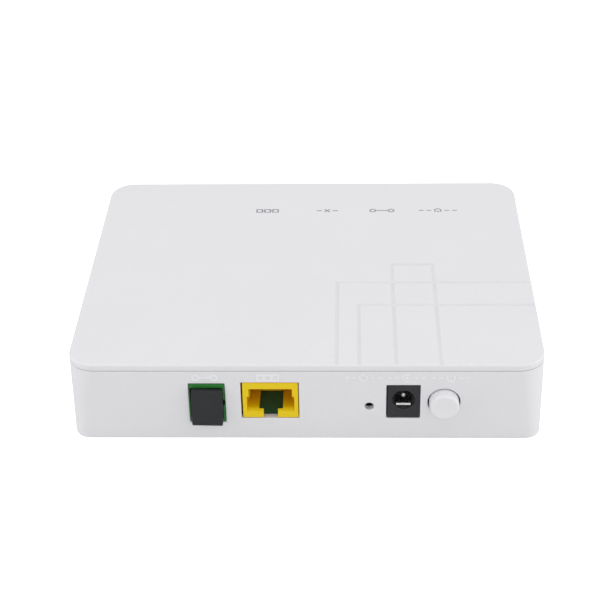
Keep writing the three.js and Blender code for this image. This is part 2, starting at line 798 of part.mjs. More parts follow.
// Plain moulded or wound parts, by the middle and size of their boxes.
const COMPONENTS = [
  { name: "lan_transformer", x: LAN.x, y: -27, width: 15, depth: 9.5, height: 5.6, material: BLACK },
  { name: "memory_chip", x: -28, y: 6, width: 9, depth: 13, height: 1.1, material: BLACK },
  { name: "flash_chip", x: 18, y: 8, width: 5.3, depth: 5.3, height: 1.8, material: BLACK },
  { name: "clock_crystal", x: -4, y: -14, width: 5, depth: 3.2, height: 1.2, material: STEEL },
  { name: "converter_chip", x: 30, y: -10, width: 4, depth: 5, height: 1.5, material: BLACK },
  { name: "power_inductor_1", x: 38, y: -14, width: 7, depth: 7, height: 4, material: DARK_GREY },
  { name: "power_inductor_2", x: 38, y: -3, width: 5, depth: 5, height: 3, material: DARK_GREY },
];
const CAPACITORS = [
  { name: "capacitor_1", x: 26, y: -26, radius: 4, height: 8 },
  { name: "capacitor_2", x: 38, y: -26, radius: 3.15, height: 6 },
];

// ---------------------------------------------------------------- assembly

addPiece("bottom_shell", bottomShell(), WHITE);
addPiece("top_cover", topCover(), WHITE);
addPiece("rating_label", ratingLabel(), PAPER);

for (const { name, x, y } of corners(POST.x, POST.y)) {
  addPiece(`foot_${name}`, foot(x, y), RUBBER);
  addPiece(`case_screw_${name}`, screw(x, y, SCREW_SEAT_Z, CASE_SCREW), STEEL);
}

addPiece("main_board", mainBoard(), BOARD_GREEN);
for (const { name, x, y } of corners(STANDOFF.x, STANDOFF.y)) {
  addPiece(`board_screw_${name}`, screw(x, y, BOARD.top, BOARD_SCREW), STEEL);
}

addPiece("optic_adapter", opticAdapter(), GREEN);
addPiece("optic_dust_cap", dustCap(), DARK_GREY);
addPiece("optic_ferrule_sleeve", ferruleSleeve(), CERAMIC);
addPiece("optical_module", opticalModule(), STEEL);
addPiece("laser_can", laserCan(), GOLD);
addPiece("photodiode_can", photodiodeCan(), GOLD);

addPiece("lan_jack_housing", lanHousing(), YELLOW);
spaced(CONTACT.count, CONTACT.pitch).forEach((dx, i) => {
  addPiece(`lan_contact_${i + 1}`, lanContact(LAN.x + dx), GOLD);
});

addPiece("power_jack_housing", powerJackHousing(), BLACK);
addPiece("power_jack_pin", powerJackPin(), STEEL);
addPiece("power_jack_spring", powerJackSpring(), STEEL);

addPiece("power_button_cap", buttonCap(), WHITE);
addPiece("power_switch_stem", switchStem(), WHITE);
addPiece("power_switch_body", switchBody(), BLACK);
addPiece("reset_switch_body", resetBody(), BLACK);
addPiece("reset_switch_plunger", resetPlunger(), DARK_GREY);

const { x: chipX, y: chipY, size: chipSize } = PROCESSOR;
addPiece("network_processor", onBoard(chipX, chipY, chipSize, chipSize, PROCESSOR.height), BLACK);
addPiece(
  "thermal_pad",
  onBoard(chipX, chipY, chipSize, chipSize, PROCESSOR.pad, PROCESSOR.height),
  PAD_GREY,
);
addPiece("heatsink", heatsink(), ALUMINIUM);
for (const { name, x, y, width, depth, height, material } of COMPONENTS) {
  addPiece(name, onBoard(x, y, width, depth, height), material);
}
for (const { name, x, y, radius, height } of CAPACITORS) {
  addPiece(name, canOnBoard(x, y, radius, height), ALUMINIUM);
}
addPiece("serial_header", serialHeader(), BLACK);

addPiece("light_guide", lightGuide(), GUIDE);
for (const { name, x } of INDICATORS) {
  addPiece(`led_${name}`, onBoard(x, LED.y, LED.width, LED.depth, LED.height), LAMP);
}

// The whole box reaches from the button's face to the front wall, and from the feet to the cover.
device.position.set(0, BUTTON.proud / 2, FOOT.proud);

export default device;
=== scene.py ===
"""Looks for the optical network terminal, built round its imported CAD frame.

Lengths are millimetres in the frame's own axes until a piece is finished, and metres after that:
+X is right seen from the ports, the ports face -Y, and +Z is up.
"""

import math

import bmesh
import bpy
from mathutils import Matrix, Vector


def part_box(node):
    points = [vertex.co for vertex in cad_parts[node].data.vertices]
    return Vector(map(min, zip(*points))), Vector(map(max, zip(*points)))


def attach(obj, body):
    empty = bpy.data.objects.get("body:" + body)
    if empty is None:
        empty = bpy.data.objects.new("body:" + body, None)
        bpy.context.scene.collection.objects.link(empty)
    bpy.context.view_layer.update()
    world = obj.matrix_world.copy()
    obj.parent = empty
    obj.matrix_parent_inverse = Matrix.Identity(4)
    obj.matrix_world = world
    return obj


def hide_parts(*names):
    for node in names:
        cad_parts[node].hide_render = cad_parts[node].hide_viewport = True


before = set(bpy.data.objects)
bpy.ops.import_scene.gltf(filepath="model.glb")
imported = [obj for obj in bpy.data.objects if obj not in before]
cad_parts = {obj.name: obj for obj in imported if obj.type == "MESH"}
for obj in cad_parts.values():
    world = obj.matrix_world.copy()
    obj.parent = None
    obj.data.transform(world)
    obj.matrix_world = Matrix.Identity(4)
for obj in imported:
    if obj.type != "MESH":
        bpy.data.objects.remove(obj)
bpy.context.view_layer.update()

MM = 0.001
OVER = 1.0  # how far a cutting solid runs past the face it opens
BITE = 0.3  # how far joined solids reach into each other


class Box:
    """A CAD node's box in millimetres, with its middle as seen from above, the ports and the side."""

    def __init__(self, node):
        low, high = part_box(node)
        self.low, self.high = low / MM, high / MM
        self.size = self.high - self.low
        self.middle = (self.low + self.high) / 2
        self.plan = (self.middle.x, self.middle.y)
        self.face = (self.middle.x, self.middle.z)
        self.side = (self.middle.y, self.middle.z)


# ---------------------------------------------------------------- sizes, from the frame

SHELL = Box("bottom_shell")
BASE_Z, PORT_Y, FRONT_Y = SHELL.low.z, SHELL.low.y, SHELL.high.y
CASE_WIDTH, CASE_DEPTH, MID_Y = SHELL.size.x, SHELL.size.y, SHELL.middle.y
TOP_Z = Box("top_cover").high.z
SEAM_Z = SHELL.high.z + 0.15
BOARD = Box("main_board")
BOARD_TOP = BOARD.high.z

CORNER = 7.5
BASE_CORNER = 4.5
WALL = 2.0
FLOOR = 2.0
TOP_EDGE = 0.65
BOTTOM_EDGE = 0.7
DRAFT = math.tan(math.radians(0.3))
SEAM = {"gap": 0.14, "edge": 0.12}
CORNER_STEPS = 16
EDGE_STEPS = 6

CORNERS = ("rear_left", "rear_right", "front_left", "front_right")
POST_PLACES = [Box("foot_" + corner).plan for corner in CORNERS]
STANDOFF_PLACES = [Box("board_screw_" + corner).plan for corner in CORNERS]
POST = {"shell": 4.3, "cover": 3.6, "pilot": 1.5, "pilot_drop": 3.0, "split": BASE_Z + 10,
        "foot_hole": 4.7, "foot_depth": 0.8, "head_hole": 3.1, "head_seat": BASE_Z + 3.4, "shank_hole": 1.6}
STANDOFF = {"radius": 3.0, "hole": 1.15, "bottom": BASE_Z + 2.6}
FLOOR_RIBS = {"places": (-12, 0, 12), "half_width": 0.5, "start": MID_Y - 38, "end": MID_Y - 30,
              "height": 2.0}
HOLLOW_FILLET = 1.2
LIP = {"inset": WALL + 0.3, "thick": 1.2, "drop": 2.2}

GROOVE = {"width": 1.1, "depth": 0.16, "steps": 8}
OFF_EDGE = 75.0
GROOVE_PATHS = [
    [(8.6, -OFF_EDGE), (8.6, -8.2), (OFF_EDGE, -8.2)],
    [(14.8, -OFF_EDGE), (14.8, -20.4), (OFF_EDGE, -20.4)],
    [(24.9, -OFF_EDGE), (24.9, 1.8), (37.2, 1.8), (37.2, -OFF_EDGE)],
]

SIDE_VENTS = {"pitch": 4.0, "count": 13, "width": 1.6, "height": 8.0, "z": BASE_Z + 16}
FLOOR_VENTS = {"pitch": 4.0, "count": 6, "nearest": 31.0, "width": 1.8, "length": 28.0}
KEYHOLE = {"x": 30.0, "y": -25.5, "head": 3.6, "slot": 3.8, "length": 8.0}
LABEL_POCKET = {"play": 0.3, "corner": 1.8}
WINDOW = {"width": 2.7, "height": 2.2, "corner": 0.3}
LAMPS = ("lan", "signal_loss", "optical_link", "power")

# ---------------------------------------------------------------- meshes


def mesh_object(name, points, faces):
    """A closed mesh with its faces turned outwards."""
    mesh = bpy.data.meshes.new(name)
    mesh.from_pydata([tuple(point) for point in points], [], faces)
    form = bmesh.new()
    form.from_mesh(mesh)
    bmesh.ops.recalc_face_normals(form, faces=form.faces)
    form.to_mesh(mesh)
    form.free()
    return bpy.data.objects.new(name, mesh)


def along(axis, u, v, w):
    """The point at w along an axis, with u and v in the plane across it."""
    return Vector({"x": (w, u, v), "y": (u, w, v), "z": (u, v, w)}[axis])


def quarter_turn(steps, first=0):
    """(sine, 1 - cosine) at each step of a quarter turn."""
    turns = [step / steps * math.pi / 2 for step in range(first, steps + 1)]
    return [(math.sin(turn), 1 - math.cos(turn)) for turn in turns]


def rounded(width, height, radius=0.0, centre=(0.0, 0.0), steps=6):
    """A rounded rectangle's outline, anticlockwise."""
    points = []
    arc = steps if radius > 0 else 0
    for quarter, (sx, sy) in enumerate(((1, 1), (-1, 1), (-1, -1), (1, -1))):
        cx = centre[0] + sx * (width / 2 - radius)
        cy = centre[1] + sy * (height / 2 - radius)
        for step in range(arc + 1):
            angle = (quarter + step / max(arc, 1)) * math.pi / 2
            points.append((cx + radius * math.cos(angle), cy + radius * math.sin(angle)))
    return points


def circle(radius, centre=(0.0, 0.0), steps=32):
    turns = [2 * math.pi * step / steps for step in range(steps)]
    return [(centre[0] + radius * math.cos(a), centre[1] + radius * math.sin(a)) for a in turns]


def loft(levels, axis="z"):
    """A solid through (w, outline) levels along an axis. The outlines have equally many points."""
    count = len(levels[0][1])
    points = [along(axis, u, v, w) for w, outline in levels for u, v in outline]
    last = (len(levels) - 1) * count
    faces = [list(range(count)), list(range(last, last + count))]
    for start in range(0, last, count):
        for i in range(count):
            j = (i + 1) % count
            faces.append((start + i, start + j, start + count + j, start + count + i))
    return mesh_object("solid", points, faces)


def block(low, high):
    centre = ((low[0] + high[0]) / 2, (low[1] + high[1]) / 2)
    outline = rounded(high[0] - low[0], high[1] - low[1], centre=centre)
    return loft([(low[2], outline), (high[2], outline)])


def rod(axis, centre, radius, span, steps=32):
    outline = circle(radius, centre, steps)
    return loft([(span[0], outline), (span[1], outline)], axis)


def lathe(axis, centre, profile, steps=48):
    """A solid of revolution from (radius, w) points. It closes on the axis where the radius is 0."""
    points, rings, faces = [], [], []
    for radius, w in profile:
        outline = circle(radius, centre, steps) if radius > 0 else [centre]
        rings.append(range(len(points), len(points) + len(outline)))
        points += [along(axis, u, v, w) for u, v in outline]
    for one, two in zip(rings, rings[1:]):
        for i in range(steps):
            j = (i + 1) % steps
            corners = [one[i % len(one)], one[j % len(one)], two[j % len(two)], two[i % len(two)]]
            unique = list(dict.fromkeys(corners))
            if len(unique) > 2:
                faces.append(unique)
    return mesh_object("solid", points, faces)


def sweep(path, section, closed=False):
    """Carries a section of (across, up) points along a path in the XY plane, mitred at its bends."""
    count, size = len(path), len(section)
    stops = [Vector(point) for point in path]
    points, faces = [], []
    for i, here in enumerate(stops):
        before = here - stops[i - 1] if closed or i else stops[1] - here
        after = stops[(i + 1) % count] - here if closed or i < count - 1 else before
        one, two = before.normalized(), after.normalized()
        mean = (one + two).normalized()
        across = Vector((-mean.y, mean.x)) / max(0.2, mean.dot(one))
        points += [(here.x + across.x * a, here.y + across.y * a, up) for a, up in section]
    for i in range(count if closed else count - 1):
        start, end = i * size, ((i + 1) % count) * size
        for k in range(size):
            m = (k + 1) % size
            faces.append((start + k, start + m, end + m, end + k))
    if not closed:
        last = (count - 1) * size
        faces += [list(range(size)), list(range(last, last + size))]
    return mesh_object("solid", points, faces)


def turned(thing, matrix):
    thing.data.transform(matrix)
    return thing


def evaluated(thing):
    """Puts the mesh that an object's modifiers make in place of its own."""
    scene = bpy.context.scene.collection
    scene.objects.link(thing)
    graph = bpy.context.evaluated_depsgraph_get()
    mesh = bpy.data.meshes.new_from_object(thing.evaluated_get(graph), depsgraph=graph)
    thing.modifiers.clear()
    thing.data = mesh
    scene.objects.unlink(thing)
    return thing


def combined(thing, tools, operation):
    group = bpy.data.collections.new("tools")
    bpy.context.scene.collection.children.link(group)
    for tool in tools:
        group.objects.link(tool)
    modifier = thing.modifiers.new("combine", "BOOLEAN")
    modifier.operation = operation
    modifier.operand_type = "COLLECTION"
    modifier.collection = group
    modifier.solver = "MANIFOLD"
    evaluated(thing)
    for tool in tools:
        bpy.data.objects.remove(tool)
    bpy.data.collections.remove(group)
    return thing


def cut(thing, *tools):
    return combined(thing, tools, "DIFFERENCE")


def join(thing, *tools):
    return combined(thing, tools, "UNION")


def softened(thing, width):
    """Rounds the edges that turn by more than 30 degrees."""
    modifier = thing.modifiers.new("soften", "BEVEL")
    modifier.width = width
    modifier.segments = 2
    modifier.limit_method = "ANGLE"
    modifier.angle_limit = math.radians(30.0)
    modifier.miter_outer = "MITER_ARC"
    return evaluated(thing)


def rim_levels(outline, face, edge, way, side, steps=4):
    """Levels round a rim's quarter circle, in from its face. side is 1 for a hole and -1 for a solid."""
    return [(face + way * edge * rise, outline(side * edge * (1 - run)))
            for run, rise in quarter_turn(steps)]


def opening(axis, outline, face, inner, edge):
    """A cutter through a wall. outline(grow) gives its shape, and it flares to round the rim."""
    way = 1 if inner > face else -1
    levels = [(face - way * OVER, outline(edge))]
    levels += rim_levels(outline, face, edge, way, 1)
    return loft(levels + [(inner, outline(0))], axis)


def slab(axis, outline, start, end, start_edge=0.1, end_edge=0.1, steps=3):
    """A solid between two planes along an axis, with both its rims rounded off."""
    way = 1 if end > start else -1
    levels = rim_levels(outline, start, start_edge, way, -1, steps)
    return loft(levels + rim_levels(outline, end, end_edge, -way, -1, steps)[::-1], axis)


def plate(width, height, radius=0.0, centre=(0.0, 0.0), steps=6):
    """An outline function for a rounded rectangle."""
    def outline(grow):
        corner = max(radius + grow, 0.02) if radius else 0.0
        return rounded(width + 2 * grow, height + 2 * grow, corner, centre, steps)
    return outline


def disc(radius, centre=(0.0, 0.0), steps=48):
    """An outline function for a circle."""
    return lambda grow: circle(radius + grow, centre, steps)


def gathered(solids):
    """Solids that don't touch, as one piece."""
    form = bmesh.new()
    for solid in solids:
        form.from_mesh(solid.data)
        bpy.data.objects.remove(solid)
    mesh = bpy.data.meshes.new("solids")
    form.to_mesh(mesh)
    form.free()
    return bpy.data.objects.new("solids", mesh)


def eased(path, radius, steps=5):
    """An open path with its bends rounded."""
    stops = [Vector(point) for point in path]
    points = [stops[0]]
    for before, here, after in zip(stops, stops[1:], stops[2:]):
        reach = min(radius, (before - here).length / 2.1, (after - here).length / 2.1)
        start = here + (before - here).normalized() * reach
        end = here + (after - here).normalized() * reach
        for step in range(steps + 1):
            share = step / steps
            points.append(start.lerp(here, share).lerp(here.lerp(end, share), share))
    return [tuple(point) for point in points + [stops[-1]]]


# Turns a form made in the XY plane into the YZ plane: its X becomes Y, its Y Z and its Z X.
ONTO_SIDE = Matrix(((0, 0, 1, 0), (1, 0, 0, 0), (0, 1, 0, 0), (0, 0, 0, 1)))


def ribbon(x, path, width, thick, bend=0.4, corner=0.08):
    """A strip or wire bent in the YZ plane, by the middle line of its section."""
    section = rounded(thick, width, corner, steps=2)
    return turned(sweep(eased(path, bend), section), Matrix.Translation((x, 0, 0)) @ ONTO_SIDE)


def spaced(count, pitch):
    return [(i - (count - 1) / 2) * pitch for i in range(count)]


# ---------------------------------------------------------------- finishing a piece


def settle_normals(mesh, sharp):
    """Shades curved faces smoothly, and flat ones flat right up to their rounded rims.

    Each corner takes the mean of the faces round it that turn by less than the sharp angle. A face
    counts by the area of the whole plane it lies in, so a slice of a wall counts like the wall.
    """
    planes, keys = {}, []
    round_vertex = [[] for _ in mesh.vertices]
    for face in mesh.polygons:
        normal = face.normal
        key = tuple(round(part, 3) for part in normal) + (round(normal.dot(face.center), 2),)
        planes[key] = planes.get(key, 0.0) + face.area
        keys.append(key)
        for vertex in face.vertices:
            round_vertex[vertex].append(face.index)
    normals = [face.normal.copy() for face in mesh.polygons]
    weighted = [normal * planes[key] for normal, key in zip(normals, keys)]
    limit = math.cos(math.radians(sharp))
    corners = []
    for face in mesh.polygons:
        own = normals[face.index]
        for vertex in face.vertices:
            total = Vector()
            for other in round_vertex[vertex]:
                if own.dot(normals[other]) > limit:
                    total += weighted[other]
            corners.append(total.normalized() if total.length > 0 else own)
    mesh.shade_smooth()
    mesh.normals_split_custom_set(corners)


def make(thing, name, slot, body="enclosure", stands_for=None, material=None, sharp=35.0):
    """Shades a piece, gives it its material and puts it on its CAD body, in metres.

    It stands for the CAD node of the same name, unless it is told which nodes it stands for.
    """
    thing.name = name
    settle_normals(thing.data, sharp)
    thing.data.transform(Matrix.Scale(MM, 4))
    thing.data.materials.clear()
    thing.data.materials.append(material or MATERIALS[slot])
    bpy.context.scene.collection.objects.link(thing)
    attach(thing, body)
    nodes = [name] if stands_for is None else stands_for
    if nodes:
        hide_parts(*nodes)


# ---------------------------------------------------------------- materials


def linear(red, green, blue):
    """A colour given in 0 to 255 display values."""
    def channel(value):
        share = value / 255
        return share / 12.92 if share <= 0.04045 else ((share + 0.055) / 1.055) ** 2.4
    return (channel(red), channel(green), channel(blue), 1.0)


def shade(colour, by):
    return tuple(min(1.0, channel * by) for channel in colour[:3]) + (1.0,)


class Shader:
    """A node material, built round one Principled node with textures measured in millimetres."""

    def __init__(self, name):
        self.material = bpy.data.materials.new(name)
        self.material.use_nodes = True
        self.nodes = self.material.node_tree.nodes
        self.links = self.material.node_tree.links
        self.surface = self.nodes["Principled BSDF"]
        place = self.add("ShaderNodeTexCoord").outputs["Object"]
        self.place = self.add("ShaderNodeVectorMath", {0: place, 3: 1 / MM}, operation="SCALE").outputs[0]

    def add(self, kind, inputs=None, **settings):
        node = self.nodes.new(kind)
        for key, value in settings.items():
            setattr(node, key, value)
        self.fill(node, inputs or {})
        return node

    def fill(self, node, inputs):
        for key, value in inputs.items():
            if isinstance(value, bpy.types.NodeSocket):
                self.links.new(value, node.inputs[key])
            else:
                node.inputs[key].default_value = value

    def finished(self, **inputs):
        """Sets the Principled node's inputs, and gives the material."""
        self.fill(self.surface, {key.replace("_", " "): value for key, value in inputs.items()})
        return self.material

    def noise(self, size, detail=3.0, roughness=0.5, distortion=0.0, stretch=None):
        """Noise whose features are about size millimetres across, before any stretch."""
        place = self.place
        if stretch:
            stretched = self.add("ShaderNodeVectorMath", {0: place, 1: stretch}, operation="MULTIPLY")
            place = stretched.outputs[0]
        inputs = {"Vector": place, "Scale": 1 / size, "Detail": detail, "Roughness": roughness,
                  "Distortion": distortion}
        return self.add("ShaderNodeTexNoise", inputs).outputs["Fac"]

    def cells(self, size, randomness, distance="EUCLIDEAN"):
        inputs = {"Vector": self.place, "Scale": 1 / size, "Randomness": randomness}
        return self.add("ShaderNodeTexVoronoi", inputs, distance=distance).outputs["Distance"]

    def spread(self, value, low, high, to_low, to_high):
        inputs = {"Value": value, "From Min": low, "From Max": high, "To Min": to_low, "To Max": to_high}
        return self.add("ShaderNodeMapRange", inputs).outputs["Result"]

    def mixed(self, share, one, two):
        return self.add("ShaderNodeMix", {0: share, 6: one, 7: two}, data_type="RGBA").outputs[2]

    def maths(self, operation, one, two):
        return self.add("ShaderNodeMath", {0: one, 1: two}, operation=operation).outputs[0]

    def bump(self, height, depth, over=None):
        """A bump of depth millimetres, over another one if given."""
        inputs = {"Height": height, "Distance": depth * MM, "Strength": 1.0}
        if over:
            inputs["Normal"] = over
        return self.add("ShaderNodeBump", inputs).outputs["Normal"]

    def worn_and_highlit_edges(self, reach=0.35):
        """From 0 to 1 within reach millimetres of an edge, for rubbed wear and a painted highlight."""
        rounded_off = self.add("ShaderNodeBevel", {"Radius": reach * MM}, samples=4).outputs["Normal"]
        facing = self.add("ShaderNodeNewGeometry").outputs["Normal"]
        same = self.add("ShaderNodeVectorMath", {0: rounded_off, 1: facing}, operation="DOT_PRODUCT")
        return self.spread(same.outputs["Value"], 0.8, 0.99, 1.0, 0.0)

    def painted_hollow_mask(self, reach, shut, clear):
        """A mask for painted shade or painted light in hollows: 1 where less than shut of the sky is seen
        within reach millimetres, 0 above clear.
        """
        sky = self.add("ShaderNodeAmbientOcclusion", {"Distance": reach * MM}, samples=8).outputs["AO"]
        return self.spread(sky, shut, clear, 1.0, 0.0)


def moulded(name, colour, roughness, grain=0.18, depth=0.004, blotch=0.03, edge_wear_and_highlight=0.25, dust=0.0,
            deep=None, hollow=(8.0, 0.2, 0.65), ior=1.5):
    """Moulded plastic: a spark-eroded grain, faint flow marks, a little dust, and lighter edges that are
    partly rubbed wear and partly a painted highlight.

    The deep colour, if there is one, is painted into the hollows that ambient occlusion finds: painted shade
    where it is darker, painted light where it is lighter or warmer.
    """
    s = Shader(name)
    flow = s.noise(22.0, 4.0, 0.55, 0.6)
    fine = s.noise(grain, 4.0, 0.6)
    mottle = s.noise(1.6)
    pale, dark = shade(colour, 1 + blotch / 2), shade(colour, 1 - blotch)
    base = s.mixed(s.spread(flow, 0.3, 0.7, 0.0, 1.0), dark, pale)
    base = s.mixed(s.spread(mottle, 0.45, 0.75, 0.0, 0.12), base, shade(colour, 0.93))
    # Painted shade or painted light in the hollows, not the plastic's own colour.
    if deep:
        base = s.mixed(s.painted_hollow_mask(*hollow), base, deep)
    edges = s.worn_and_highlit_edges()
    # Lighter edges: rubbed wear, and a painted highlight where the share is strong.
    base = s.mixed(s.maths("MULTIPLY", edges, edge_wear_and_highlight), base, shade(colour, 1.12))
    if dust:
        specks = s.spread(s.noise(0.7, 2.0, 0.4), 0.7, 0.78, 0.0, dust)
        base = s.mixed(specks, base, linear(150, 146, 138))
    smear = s.noise(9.0, 5.0, 0.6, 1.2, (1.0, 2.2, 1.0))
    rough = s.maths("ADD", s.spread(smear, 0.3, 0.7, roughness - 0.05, roughness + 0.06),
                    s.spread(fine, 0.3, 0.7, -0.03, 0.03))
    rough = s.maths("SUBTRACT", rough, s.maths("MULTIPLY", edges, 0.08))
    bumped = s.bump(fine, depth, s.bump(mottle, depth))
    return s.finished(Base_Color=base, Roughness=rough, Normal=bumped, IOR=ior)


def brushed(name, colour, roughness, size, stretch):
    """Plated or machined metal, with fine tool marks and a little tarnish."""
    s = Shader(name)
    lines = s.noise(size, 4.0, 0.7, stretch=stretch)
    tarnish = s.noise(3.0, 4.0, 0.6)
    base = s.mixed(s.spread(tarnish, 0.4, 0.75, 0.0, 0.5), colour, shade(colour, 0.72))
    rough = s.spread(s.maths("ADD", lines, tarnish), 0.6, 1.4, roughness - 0.08, roughness + 0.12)
    return s.finished(Base_Color=base, Roughness=rough, Normal=s.bump(lines, 0.002), Metallic=1.0)


def rubber(name, colour):
    s = Shader(name)
    fine = s.noise(0.25, 5.0, 0.7)
    lint = s.spread(s.noise(0.9, distortion=2.0), 0.62, 0.75, 0.0, 0.3)
    base = s.mixed(lint, colour, shade(colour, 3.0))
    rough = s.spread(fine, 0.3, 0.7, 0.72, 0.9)
    return s.finished(Base_Color=base, Roughness=rough, Normal=s.bump(fine, 0.02))


def grained(name, colour, tones, noise, share, rough, depth, **others):
    """An even grain: noise mixes two tones of a colour, and sets the roughness and the bump."""
    s = Shader(name)
    grain = s.noise(*noise)
    one, two = (shade(colour, tone) for tone in tones)
    base = s.mixed(s.spread(grain, *share), one, two)
    rough = s.spread(grain, 0.3, 0.7, *rough)
    return s.finished(Base_Color=base, Roughness=rough, Normal=s.bump(grain, depth), **others)


def clear(name, colour, roughness):
    """Clear acrylic or resin with a frosted skin."""
    return grained(name, colour, (1.0, 0.93), (0.8, 4.0, 0.6), (0, 1, 0, 1), (roughness, roughness + 0.15),
                   0.002, IOR=1.49, Transmission_Weight=0.85)


def solder_mask(name, colour):
    """Green lacquer over copper tracks and vias, which show as paler, raised lines and dots."""
    s = Shader(name)
    ridges = s.maths("PINGPONG", s.maths("MULTIPLY", s.cells(3.1, 0.8, "MANHATTAN"), 9.0), 1.0)
    tracks = s.spread(ridges, 0.35, 0.5, 0.0, 1.0)
    vias = s.spread(s.cells(2.2, 0.9), 0.10, 0.13, 1.0, 0.0)
    grime = s.noise(6.0, 4.0)
    base = s.mixed(tracks, colour, shade(colour, 1.5))
    base = s.mixed(s.spread(grime, 0.4, 0.8, 0.0, 0.4), base, shade(colour, 0.7))
    base = s.mixed(vias, base, shade(colour, 2.0))
    height = s.maths("ADD", tracks, s.maths("MULTIPLY", vias, 0.6))
    rough = s.spread(grime, 0.3, 0.7, 0.28, 0.42)
    return s.finished(Base_Color=base, Roughness=rough, Normal=s.bump(height, 0.03))


CASE_COLOUR = linear(228, 228, 231)
MATERIALS = {
    "case_white": moulded("case_plastic", CASE_COLOUR, 0.52, dust=0.15, blotch=0.012),
    "button_white": moulded("button_plastic", linear(231, 231, 234), 0.36, grain=0.3, depth=0.002,
                            blotch=0.01),
    "foot_rubber": rubber("foot_rubber", linear(62, 62, 64)),
    "label_paper": grained("label_paper", linear(226, 226, 224), (0.96, 1.0),
                           (0.35, 5.0, 0.65, 0.8, (1.0, 0.35, 1.0)), (0.3, 0.7, 0, 1), (0.42, 0.56), 0.006),
    "screw_steel": brushed("screw_zinc", linear(186, 188, 192), 0.32, 0.2, (1.0, 1.0, 0.2)),
    "board_green": solder_mask("board_lacquer", linear(20, 88, 70)),
    "optic_green": moulded("optic_plastic", linear(34, 116, 44), 0.38, grain=0.25, depth=0.003, ior=1.42),
    # The cap's strong edge share paints a highlight along its rounded edges.
    "cap_black": moulded("cap_elastomer", linear(39, 40, 43), 0.6, grain=0.15, depth=0.006, dust=0.1,
                         edge_wear_and_highlight=2.5, ior=1.4),
    "ceramic_white": grained("sleeve_ceramic", linear(236, 234, 226), (0.97, 1.0), (0.2, 3.0), (0, 1, 0, 1),
                             (0.12, 0.22), 0.001, Coat_Weight=0.3),
    "module_metal": brushed("module_nickel", linear(182, 182, 180), 0.3, 0.3, (0.1, 1.0, 1.0)),
    "gold_plate": brushed("gold_plating", linear(222, 186, 100), 0.22, 0.2, (1.0, 0.15, 1.0)),
    # The jack's deep orange is painted light: the colour that light bounced between its yellow walls would
    # take.
    "lan_yellow": moulded("jack_yellow", linear(236, 205, 8), 0.45, grain=0.25, depth=0.003, edge_wear_and_highlight=0.15,
                          deep=linear(244, 172, 0), ior=1.38),
    "part_black": moulded("part_black", linear(34, 34, 37), 0.48, grain=0.12, depth=0.005, ior=1.42),
    "contact_steel": brushed("contact_tin", linear(200, 200, 198), 0.24, 0.15, (0.2, 1.0, 1.0)),
    "heatsink_aluminium": brushed("extruded_aluminium", linear(196, 198, 202), 0.36, 0.3, (1.0, 0.05, 1.0)),
    "thermal_grey": rubber("thermal_pad", linear(140, 146, 152)),
    "guide_clear": clear("guide_acrylic", linear(240, 246, 250), 0.1),
    "lamp_clear": clear("lamp_resin", linear(240, 236, 200), 0.18),
}
# The cover's deep grey is painted shade in its grooves and its seam.
COVER_WHITE = moulded("cover_plastic", CASE_COLOUR, 0.52, dust=0.15, blotch=0.012,
                      deep=linear(196, 196, 200), hollow=(1.5, 0.8, 1.0))
# The jack's deep grey is painted light that brightens the shaded far inside of its bore.
JACK_BLACK = moulded("jack_black", linear(41, 41, 44), 0.48, grain=0.12, depth=0.005,
                     deep=linear(150, 150, 154), hollow=(8.0, 0.05, 0.3), ior=1.42)
MARK_WHITE = moulded("mark_white", linear(237, 237, 240), 0.4, depth=0.001, blotch=0.01)
TAN = moulded("capacitor_ceramic", linear(168, 138, 104), 0.4, depth=0.002)
INK = grained("print_grey", linear(142, 142, 148), (1.0, 1.25), (0.12, 2.0), (0.35, 0.65, 0, 0.35),
              (0.5, 0.5), 0.002)

# ---------------------------------------------------------------- shell and cover


def draft_inset(z):
    return (TOP_Z - z) * DRAFT


def case_form(pairs):
    """The case's form through (z, inset) levels. Its corners grow wider from the base up to the seam."""
    levels = []
    for z, inset in pairs:
        share = min(1.0, (z - BASE_Z) / (SEAM_Z - BASE_Z))
        corner = BASE_CORNER + (CORNER - BASE_CORNER) * share
        in_all = inset + draft_inset(z)
        levels.append((z, rounded(CASE_WIDTH - 2 * in_all, CASE_DEPTH - 2 * in_all, corner - in_all,
                                  (0, MID_Y), CORNER_STEPS)))
    return loft(levels)


def opening_out(inner, z, radius, steps=EDGE_STEPS):
    """(z, inset) pairs round a quarter circle, where the form widens upwards."""
    return [(z + radius * rise, inner + radius * (1 - run)) for run, rise in quarter_turn(steps)]


def closing_in(inner, z, radius, steps=EDGE_STEPS):
    """(z, inset) pairs round a quarter circle, where the form narrows upwards."""
    return [(z + radius * run, inner + radius * rise) for run, rise in quarter_turn(steps)]


def leaning(thing, axis=1, way=1):
    """Slants a cutter or a raised mark along an axis, so that it follows a drafted wall."""
    for vertex in thing.data.vertices:
        vertex.co[axis] += way * draft_inset(vertex.co.z)
    return thing


def wall_opening(outline, edge, wall_y=PORT_Y):
    way = 1 if wall_y < MID_Y else -1
    return leaning(opening("y", outline, wall_y, wall_y + way * (WALL + OVER), edge), way=way)


def box_opening(node, left, right, bottom, top):
    """The hole in the port wall round a jack, with a gap at each of its sides."""
    jack = Box(node)
    centre = (jack.face[0] + (right - left) / 2, jack.face[1] + (top - bottom) / 2)
    return wall_opening(plate(jack.size.x + left + right, jack.size.z + bottom + top, 0.2, centre), 0.3)


BUTTON_HOLE = {"radius": 4.55, "drop": 0.14, "edge": 0.14}
RESET_HOLE = {"radius": 1.25, "edge": 0.3}


